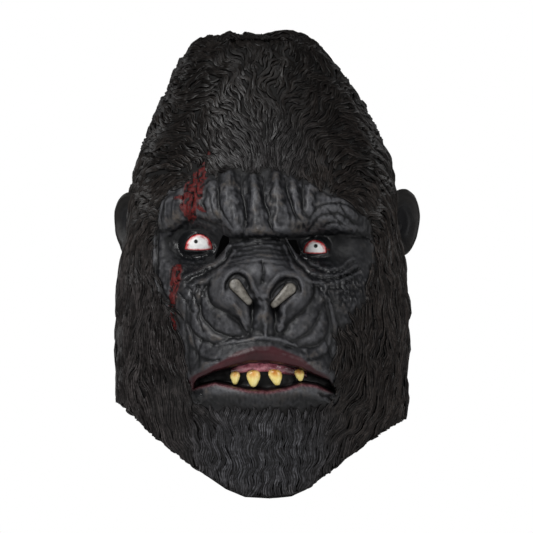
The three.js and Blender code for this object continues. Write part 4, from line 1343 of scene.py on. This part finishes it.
# Section of a lock: place across, height, and how near the crest of a strand
LOCK_SECTION = np.array((
    (-1, 0, 0), (-0.52, 1, 1), (-0.02, 0.3, 0), (0.5, 0.84, 0.9), (1, 0, 0), (0.6, -0.4, 0),
    (-0.6, -0.4, 0),
))

# Pieces of the hair: number of locks
LOCK_COUNTS = {
    "hair_crown": 1950,
    "hair_left": 950,
    "hair_right": 950,
    "hair_beard": 760,
    "hair_back": 1950,
}
HAIR_SEED = 11

# Where the pieces meet: angle from the front about an axis so far behind the crown's middle, drops, and half
# width of the beard
HEAD_AXIS = 10
FRONT_ANGLE = 75
CROWN_END = 0.31
BEARD_START = 0.66
BEARD_HALF = 72

# Regions of the hair: half angle, drop and half height
FOREHEAD = (24, 0.26, 0.085)
BEARD = (38, 0.88, 0.11)

# By drop: a lock's length and width, how much it waves, its own share of the wave, lift and crest strength
LENGTHS = ((0, 21), (0.2, 22), (0.32, 22), (0.45, 34), (0.6, 36), (0.8, 30), (1, 26))
WIDTHS = ((0, 3.9), (0.15, 4.0), (0.3, 4.3), (0.5, 5.4), (0.8, 5.0), (1, 4.4))
WAVES = ((0, 0.95), (0.15, 0.85), (0.28, 0.6), (0.5, 0.45), (0.8, 0.4), (1, 0.35))
OWN_WAVES = ((0.26, 0.4), (0.4, 0.35), (0.7, 0.3), (0.8, 0.12))
LIFTS = ((0.05, 1.1), (0.1, 1.5), (0.3, 1.0))
# Crest strength is low at the crown: painted shade on crests that face the light from above
CREST_STRENGTHS = ((0.0, 0.3), (0.14, 0.4), (0.25, 0.5), (0.42, 1.0))

# By angle from the front: share of its width that a lock has there
MIDDLE_WIDTHS = ((15, 0.85), (45, 1.0))

# How far single locks differ in length, width, height and lift, height as a share of the width, and the turn
# of the arch that a lifted lock makes
LENGTH_SPREAD = (0.7, 1.25)
WIDTH_SPREAD = (0.7, 1.35)
HEIGHT_SPREAD = (0.6, 1.4)
LIFT_SPREAD = (-0.3, 0.9)
LOCK_HEIGHT = 0.36
LOCK_ARCH = 2.4

# The wave in radians: along one lock, and of all locks to a millimetre down and, at the crown, across
OWN_TURNS = 6.5
WAVE_DOWN = 0.27
WAVE_ACROSS = 0.22
CROWN_WAVES = ((0.25, 1), (0.35, 0))

# How wide a row of the flow table reaches, in degrees and in drop
FLOW_TURN = 26
FLOW_DROP = 0.09

# How far the roots at the crown are drawn in and how wide around, in radii of the bare tip
TIP_DRAW = 0.85
TIP_SPREAD = 1.3

# Locks are spread evenly over square blocks of so many cells. A path steps over at most so many columns at
# once, and no cell counts as smaller than so many millimetres.
BLOCK = 7
LONGEST_STEP = 14
SMALLEST_CELL = 0.3

skin_across, skin_down = tangents(skin_grid)


def sample(grid, u, v):
    """Values of a ring grid at places that lie between its columns u and rows v."""
    v = np.clip(v, 0, grid.shape[0] - 1.001)
    i, j = np.floor(v).astype(int), np.floor(u).astype(int)
    tv, tu = (v - i)[:, None], (u - j)[:, None]
    j0, j1 = j % grid.shape[1], (j + 1) % grid.shape[1]
    upper = grid[i, j0] * (1 - tu) + grid[i, j1] * tu
    lower = grid[i + 1, j0] * (1 - tu) + grid[i + 1, j1] * tu
    return upper * (1 - tv) + lower * tv


def flow_heading(angle, drop):
    """Heading of the hair, mixed from the nearest rows of the flow table."""
    east = south = 0
    for place, level, heading in FLOW:
        for side in (1, -1):
            away = ((angle - side * place) / FLOW_TURN) ** 2 + ((drop - level) / FLOW_DROP) ** 2
            weight = 1 / (0.04 + away) ** 2
            east = east + weight * side * math.sin(math.radians(heading))
            south = south + weight * math.cos(math.radians(heading))
    return np.arctan2(east, south)


def over_the_tip(points):
    """Points of the locks, drawn in near the crown so that they cover its bare tip."""
    tip = skin_grid[0, :, :2].mean(0)
    tip_radius = np.linalg.norm(skin_grid[0, :, :2] - tip, axis=1).mean()
    away = points[:, :2] - tip
    radius = np.linalg.norm(away, axis=1)
    drawn = TIP_DRAW * tip_radius * bell(radius, tip_radius, TIP_SPREAD * tip_radius)
    share = 1 - drawn / np.maximum(radius, 0.1)
    return np.column_stack((tip + away * share[:, None], points[:, 2]))


def pick_roots(rng, weight, count):
    """Columns and rows of the locks' roots, spread over the grid's cells by weight."""
    i, j = np.indices(weight.shape).reshape(2, -1)
    order = np.lexsort((j, i, j // BLOCK, i // BLOCK))
    cells = np.cumsum(weight.ravel()[order])
    pick = (np.arange(count) + rng.random(count)) / count * cells[-1]
    chosen = order[np.minimum(np.searchsorted(cells, pick), weight.size - 1)]
    v = chosen // weight.shape[1] + rng.random(count) - 0.5
    u = chosen % weight.shape[1] + rng.random(count) - 0.5
    return u, v


def shared_wave(points, drop):
    """The wave that neighbouring locks have in common."""
    across = WAVE_ACROSS * np.abs(points[:, 0]) * along(CROWN_WAVES, drop)
    return np.sin(5 * noise.at(points + 90, 34) - WAVE_DOWN * points[:, 2] - across)


def trace_locks(rng, weight, count):
    """Paths of locks over the skin: places, normals and sideways directions at each step."""
    u, v = pick_roots(rng, weight, count)
    root = sample(skin_grid, u, v)
    reach = lock_length(root) * rng.uniform(*LENGTH_SPREAD, count)
    wave = lock_wave(root)
    calm = 1 - 0.6 * within(FOREHEAD, root) - 0.8 * within(BEARD, root)
    own = along(OWN_WAVES, around(root)[1])
    phase = 9 * noise.at(root, 26) + rng.normal(0, 0.5, count)
    turn = rng.normal(0, 0.1, count) * (0.4 + 0.6 * own)
    places, normals, sides = [], [], []
    for t, ahead in zip(LOCK_STEPS, np.diff(LOCK_STEPS, append=LOCK_STEPS[-1])):
        p = sample(skin_grid, u, v)
        n = unit(sample(skin_normals, u, v))
        tu, tv = sample(skin_across, u, v), sample(skin_down, u, v)
        angle, drop = around(p)
        heading = np.where(drop < 0.015, 0, flow_heading(angle, drop))
        heading = heading + calm * roughened(0, p, HAIR_SWIRL) + turn
        heading = heading + wave * (own * np.sin(phase + OWN_TURNS * t) + (1 - own) * shared_wave(p, drop))
        south = unit(tv)
        east = unit(tu - (tu * south).sum(-1, keepdims=True) * south)
        way = np.cos(heading)[:, None] * south + np.sin(heading)[:, None] * east
        places.append(over_the_tip(p))
        normals.append(n)
        sides.append(np.cross(n, way))
        go = (reach * ahead)[:, None] * way
        move_east, move_south = (go * east).sum(-1), (go * south).sum(-1)
        du = move_east / np.maximum(SMALLEST_CELL, (tu * east).sum(-1))
        du = np.clip(du, -LONGEST_STEP, LONGEST_STEP)
        dv = (move_south - du * (tu * south).sum(-1)) / np.maximum(SMALLEST_CELL, (tv * south).sum(-1))
        u, v = u + du, np.clip(v + dv, 0.2, skin_grid.shape[0] - 1.8)
    return np.stack(places, 1), np.stack(normals, 1), np.stack(sides, 1)


def build_locks(name, rng, weight, count, material):
    """One piece of many locks."""
    p, n, s = trace_locks(rng, weight, count)
    root = p[:, 0]
    drop = around(root)[1]
    wide = (lock_width(root) * rng.uniform(*WIDTH_SPREAD, count))[:, None] * LOCK_WIDTHS
    height = lock_width(root) * LOCK_HEIGHT
    tall = (height * rng.uniform(*HEIGHT_SPREAD, count))[:, None] * LOCK_WIDTHS ** 0.7
    lift = rng.uniform(*LIFT_SPREAD, count) * along(LIFTS, drop) * height
    middle = p + n * (lift[:, None] * np.sin(LOCK_STEPS * LOCK_ARCH))[..., None]
    places, heights, crests = LOCK_SECTION.T
    across = s[:, :, None] * (wide[:, :, None] * places / 2)[..., None]
    up = n[:, :, None] * (tall[:, :, None] * heights)[..., None]
    rings = (middle[:, :, None] + across + up)[:, 1:-1]
    points = np.concatenate((middle[:, :1], rings.reshape(count, -1, 3), middle[:, -1:]), 1)
    per_lock, per_ring, ring_total = points.shape[1], len(places), rings.shape[1]
    one = np.concatenate((
        fan_faces(0, 1, per_ring),
        ring_faces(ring_total, per_ring, 1),
        fan_faces(per_lock - 1, 1 + per_ring * (ring_total - 1), per_ring, True),
    ))
    faces = (one[None] + per_lock * np.arange(count)[:, None, None]).reshape(-1, 3)
    values = {
        "crest": np.tile(np.concatenate(([0.2], np.tile(crests, ring_total), [0.8])), count),
        "tint": np.repeat(rng.random(count) ** 2, per_lock),
        "pale": np.repeat(paleness(root), per_lock),
        "crest_strength": np.repeat(along(CREST_STRENGTHS, drop), per_lock),
    }
    return make_object(name, points.reshape(-1, 3), np.ascontiguousarray(faces), material, values=values)


def around(points):
    """Angle from the front in degrees, and drop, of points on the skin."""
    angle = np.degrees(np.arctan2(points[:, 0], HEAD_AXIS - points[:, 1]))
    return angle, (WALL - points[:, 2]) / WHOLE_HEIGHT


def within(region, points):
    """1 in the middle of a region of the hair, 0 away from it."""
    wide, level, tall = region
    angle, drop = around(points)
    return mound(angle, drop, 0, level, wide, tall, 4)


def fineness(points):
    """1 at the edge of the bare face, 0 well away from it."""
    angle, _ = around(points)
    away = -bareness(points[..., 0], points[..., 2], np.radians(angle))
    return 1 - smooth_step(2, 18, away)


def behind(points):
    """1 on the back of the head, 0 in front of the ears."""
    angle, _ = around(points)
    return smooth_step(60, 95, np.abs(angle))


def lock_length(points):
    """Length of a lock rooted at each point: shorter at the face, longer behind."""
    length = along(LENGTHS, around(points)[1]) * (1 + 0.15 * behind(points))
    return length * (1 - 0.2 * within(FOREHEAD, points)) * (1 - 0.3 * fineness(points))


def lock_width(points):
    """Width of a lock rooted at each point: finer at the face, broader behind."""
    angle, drop = around(points)
    width = along(WIDTHS, drop) * along(MIDDLE_WIDTHS, np.abs(angle))
    width = width * (1 + 0.12 * within(BEARD, points)) * (1 + 0.3 * behind(points))
    return width * (1 - 0.25 * within(FOREHEAD, points)) * (1 - 0.35 * fineness(points))


def lock_wave(points):
    """How strongly a lock rooted at each point waves."""
    return along(WAVES, around(points)[1]) * (1 - 0.5 * within(FOREHEAD, points))


def paleness(points):
    """Where the hair is paler: most in the forehead's middle and in the beard, and some on the sides."""
    angle, drop = around(points)
    sides = smooth_step(0.35, 0.55, drop) * np.where(angle < 0, 0.2, 0.05)
    return np.maximum(np.maximum(0.35 * within(FOREHEAD, points), 0.9 * within(BEARD, points)), sides)


def hair_zones():
    """Which cells of the grid each piece of the hair covers."""
    drop = (WALL - skin_grid[..., 2]) / WHOLE_HEIGHT
    front = np.abs(np.degrees(angle_grid)) < FRONT_ANGLE
    chin = front & (drop > BEARD_START) & (np.abs(skin_grid[..., 0]) < BEARD_HALF)
    crown = (drop < CROWN_END) & front
    sides = front & ~crown & ~chin
    return {
        "hair_crown": crown,
        "hair_left": sides & (angle_grid < 0),
        "hair_right": sides & (angle_grid >= 0),
        "hair_beard": chin,
        "hair_back": ~front,
    }


def hair_pieces(material):
    """The locks of each zone, more of them where they are small."""
    rng = np.random.default_rng(HAIR_SEED)
    places = skin_grid.reshape(-1, 3)
    taken = (lock_width(places) * lock_length(places)).reshape(angle_grid.shape)
    area = np.linalg.norm(np.cross(skin_across, skin_down), axis=-1)
    grows = np.clip(skin_values["hair"] / 0.5 - 0.2, 0, 1) * (1 - skin_values["wound"])
    made = []
    for name, zone in hair_zones().items():
        weight = area * (grows * zone) / taken
        made.append(build_locks(name, rng, weight, LOCK_COUNTS[name], material))
    return made


hair = hair_pieces(hair_paint())


# Eyes, gum, teeth and pads


def build_eye(eye, material):
    """A painted dome with the curve of its lid ball."""
    name, across, drop, *_ = eye
    cx, cz = across * HALF_WIDTH, height_at(drop)
    outline = np.array(eye_outline(eye, 0))

    def ring(share, deeper):
        x, z = cx + outline[:, 0] * share, cz + outline[:, 1] * share
        return np.column_stack((x, ball_depth(eye, x, z) + EYE_SUNK + deeper, z))

    shares = np.linspace(0.04, 1, 26)
    rings = [ring(share, 0) for share in shares] + [ring(1.0, EYE_THICK), ring(0.5, EYE_THICK)]
    first = (cx, float(ball_depth(eye, cx, cz)) + EYE_SUNK, cz)
    last = (first[0], first[1] + EYE_THICK, first[2])
    count = len(outline)
    edge = np.concatenate(([0], np.repeat(shares, count), np.ones(2 * count + 1)))
    places = np.concatenate(([first], np.concatenate(rings), [last]))
    px, pdown = PUPILS[name]
    away = np.hypot(places[:, 0] - px, places[:, 2] + pdown)
    pupil = 1 - smooth_step(PUPIL_INNER, PUPIL_OUTER, away)
    return loft(name + "_dome", first, rings, last, material, {"edge": edge, "pupil": pupil})


def mouth_floor(share):
    """Depth of the floor of the mouth at a place across."""
    z = height_at((along(MOUTH_TOP, share) + along(MOUTH_BOTTOM, share)) / 2)
    return front_at(share * HALF_WIDTH, z)


def build_gum(material):
    """A wet bar along the upper edge of the mouth, rounded in front, with a swelling over each tooth."""
    front, back = GUM_FRONT, -GUM_BACK
    turns = np.linspace(math.pi / 2, -math.pi / 2, 13)
    outs = np.concatenate(([back], front - GUM_ROUND + GUM_ROUND * np.cos(turns), [back]))
    ups = np.concatenate(([1], np.sin(turns), [-1]))
    rings = []
    for t in np.linspace(-1, 1, 70):
        share = (GUM_LEFT + GUM_RIGHT) / 2 + (GUM_RIGHT - GUM_LEFT) / 2 * t
        swell = math.sqrt(1 - 0.75 * t ** 4)
        out = sum(0.9 * bell(share - tooth[1], 0.01, 0.03) for tooth in TEETH)
        middle = height_at(along(MOUTH_TOP, share)) - GUM_HEIGHT / 2
        y = mouth_floor(share) - outs - out * (outs > 0)
        z = middle + ups * GUM_HEIGHT / 2 * swell
        rings.append(np.column_stack((np.full(len(outs), share * HALF_WIDTH), y, z)))
    rings = np.array(rings)
    rings[..., 1] += 0.4 * noise.at(rings, 3.2) * (rings[..., 1] < rings[..., 1].mean())
    far = np.concatenate(([1], smooth_step(10, 27, np.abs(rings[..., 0])).ravel(), [1]))
    return loft("gum_wet", rings[0].mean(0), rings, rings[-1].mean(0), material, {"far": far})


def build_tooth(tooth, material):
    """An oval peg, round at the gum and blunt at its leaning tip."""
    name, across, drop, width, length, lean = tooth
    top = height_at(drop) + 1
    depth = mouth_floor(across) - GUM_FRONT + TOOTH_SINK - TOOTH_THICK / 4
    turns = np.linspace(0, 2 * math.pi, 32, endpoint=False)
    downs = np.linspace(0.01, 0.99, 22)
    rings = []
    for down in downs:
        share = along(TOOTH_PROFILE, down)
        middle = across * HALF_WIDTH + lean * width * down
        x = middle + np.cos(turns) * width / 2 * share
        y = depth + np.sin(turns) * TOOTH_THICK / 2 * share
        rings.append(np.column_stack((x, y, np.full(len(turns), top - length * down))))
    rings = np.array(rings)
    rings += 0.12 * noise.at(rings, 2.5)[..., None]
    first = rings[0].mean(0) + (0, 0, 0.2)
    last = rings[-1].mean(0) - (0, 0, 0.3)
    levels = np.concatenate(([0], np.repeat(downs, len(turns)), [1]))
    streak = np.concatenate(([0], np.tile(bell(np.cos(turns), 0, 0.5), len(downs)), [0]))
    root = np.clip((1 - smooth_step(0.22, 0.62, levels)) * (0.45 + 0.55 * streak), 0, 1)
    return loft(name + "_peg", first, rings, last, material, {"root": root})


def build_pad(pad, material):
    """A domed plug that narrows downwards and lies along the floor of its nostril."""
    outline = np.array(pad_outline(pad, 0))
    mx, mz = outline.mean(0)
    ends = sorted((height_at(d), front_at(a * HALF_WIDTH, height_at(d))) for a, d in pad[1:])

    def ring(share, sunk):
        x, z = mx + (outline[:, 0] - mx) * share, mz + (outline[:, 1] - mz) * share
        return np.column_stack((x, along(ends, z) - PAD_OUT + sunk, z))

    rings = np.array([ring(*step) for step in PAD_DOME])
    rings[:-1, :, 1] += 0.25 * noise.at(rings[:-1], 3)
    first = (mx, float(along(ends, mz)) - PAD_OUT, mz)
    last = (mx, first[1] + PAD_THICK, mz)
    shares = np.array([share for share, _ in PAD_DOME])
    edge = np.concatenate(([0], np.repeat(smooth_step(0.88, 1.0, shares), len(outline)), [1]))
    return loft(pad[0] + "_plug", first, rings, last, material, {"edge": edge})


eye_material = eye_paint()
tooth_material = tooth_paint()
pad_material = pad_paint()
eyes = [build_eye(eye, eye_material) for eye in EYES]
gum = build_gum(gum_paint())
teeth = [build_tooth(tooth, tooth_material) for tooth in TEETH]
plugs = [build_pad(pad, pad_material) for pad in PADS]


# What each piece rides on and stands for

for piece in (skin, *ears, *hair):
    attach(piece, "root")
    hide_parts("mask_skin")
for piece, row in zip(eyes, EYES):
    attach(piece, "root")
    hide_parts(row[0])
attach(gum, "root")
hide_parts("gum")
for piece, row in zip(teeth, TEETH):
    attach(piece, "root")
    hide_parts(row[0])
for piece, row in zip(plugs, PADS):
    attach(piece, "root")
    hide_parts(row[0])


# Floor, light and camera

CENTRE = Vector((0.0, 0.0, -0.2))
FLOOR_HEIGHT = -0.5
FLOOR_HALF = 1
CAMERA_PLACE = (0.0035, -10.0, -0.1992)
CAMERA_LENS = 776

# Strength of the white background, as seen and as light on the mask
WORLD_SEEN = 1.0
WORLD_LIT = 0.13

# Lights: name, place, size and watts
LIGHTS = (
    ("key", (-0.9, -1.5, 0.9), 0.7, 32),
    ("fill", (1.3, -1.5, 0.1), 0.9, 12),
    ("top", (0.0, -0.5, 1.3), 0.8, 6),
    ("rim_left", (-1.2, 0.8, 0.2), 0.6, 2),
    ("rim_right", (1.2, 0.8, 0.2), 0.6, 2),
)


def build_floor():
    """A plain ground well below the mask."""
    half = FLOOR_HALF / MM
    height = FLOOR_HEIGHT / MM
    corners = [(-half, -half, height), (half, -half, height), (half, half, height), (-half, half, height)]
    floor = make_object("floor", corners, [(0, 1, 2, 3)], floor_paint(), smooth=False)


def add_light(name, place, size, watts):
    """A soft square light that looks at the mask's centre."""
    data = bpy.data.lights.new(name, "AREA")
    data.shape = "SQUARE"
    data.size = size
    data.energy = watts
    light = bpy.data.objects.new(name, data)
    light.location = place
    light.rotation_euler = (CENTRE - Vector(place)).to_track_quat("-Z", "Y").to_euler()
    bpy.context.scene.collection.objects.link(light)


def add_world():
    """A white background that lights the mask only a little."""
    world = bpy.data.worlds.new("studio")
    world.use_nodes = True
    tree = world.node_tree
    background = tree.nodes["Background"]
    path = tree.nodes.new("ShaderNodeLightPath")
    strength = tree.nodes.new("ShaderNodeMapRange")
    strength.inputs["To Min"].default_value = WORLD_LIT
    strength.inputs["To Max"].default_value = WORLD_SEEN
    background.inputs["Color"].default_value = (1, 1, 1, 1)
    tree.links.new(path.outputs["Is Camera Ray"], strength.inputs["Value"])
    tree.links.new(strength.outputs["Result"], background.inputs["Strength"])
    bpy.context.scene.world = world


def add_camera():
    """A long lens far in front, level with the middle of the mask."""
    data = bpy.data.cameras.new("camera")
    data.lens = CAMERA_LENS
    data.sensor_width = 36
    data.clip_end = 100
    camera = bpy.data.objects.new("camera", data)
    camera.location = CAMERA_PLACE
    camera.rotation_euler = (math.pi / 2, 0, 0)
    bpy.context.scene.collection.objects.link(camera)
    bpy.context.scene.camera = camera


build_floor()
add_world()
for light in LIGHTS:
    add_light(*light)
add_camera()
bpy.context.scene.view_settings.view_transform = "Standard"
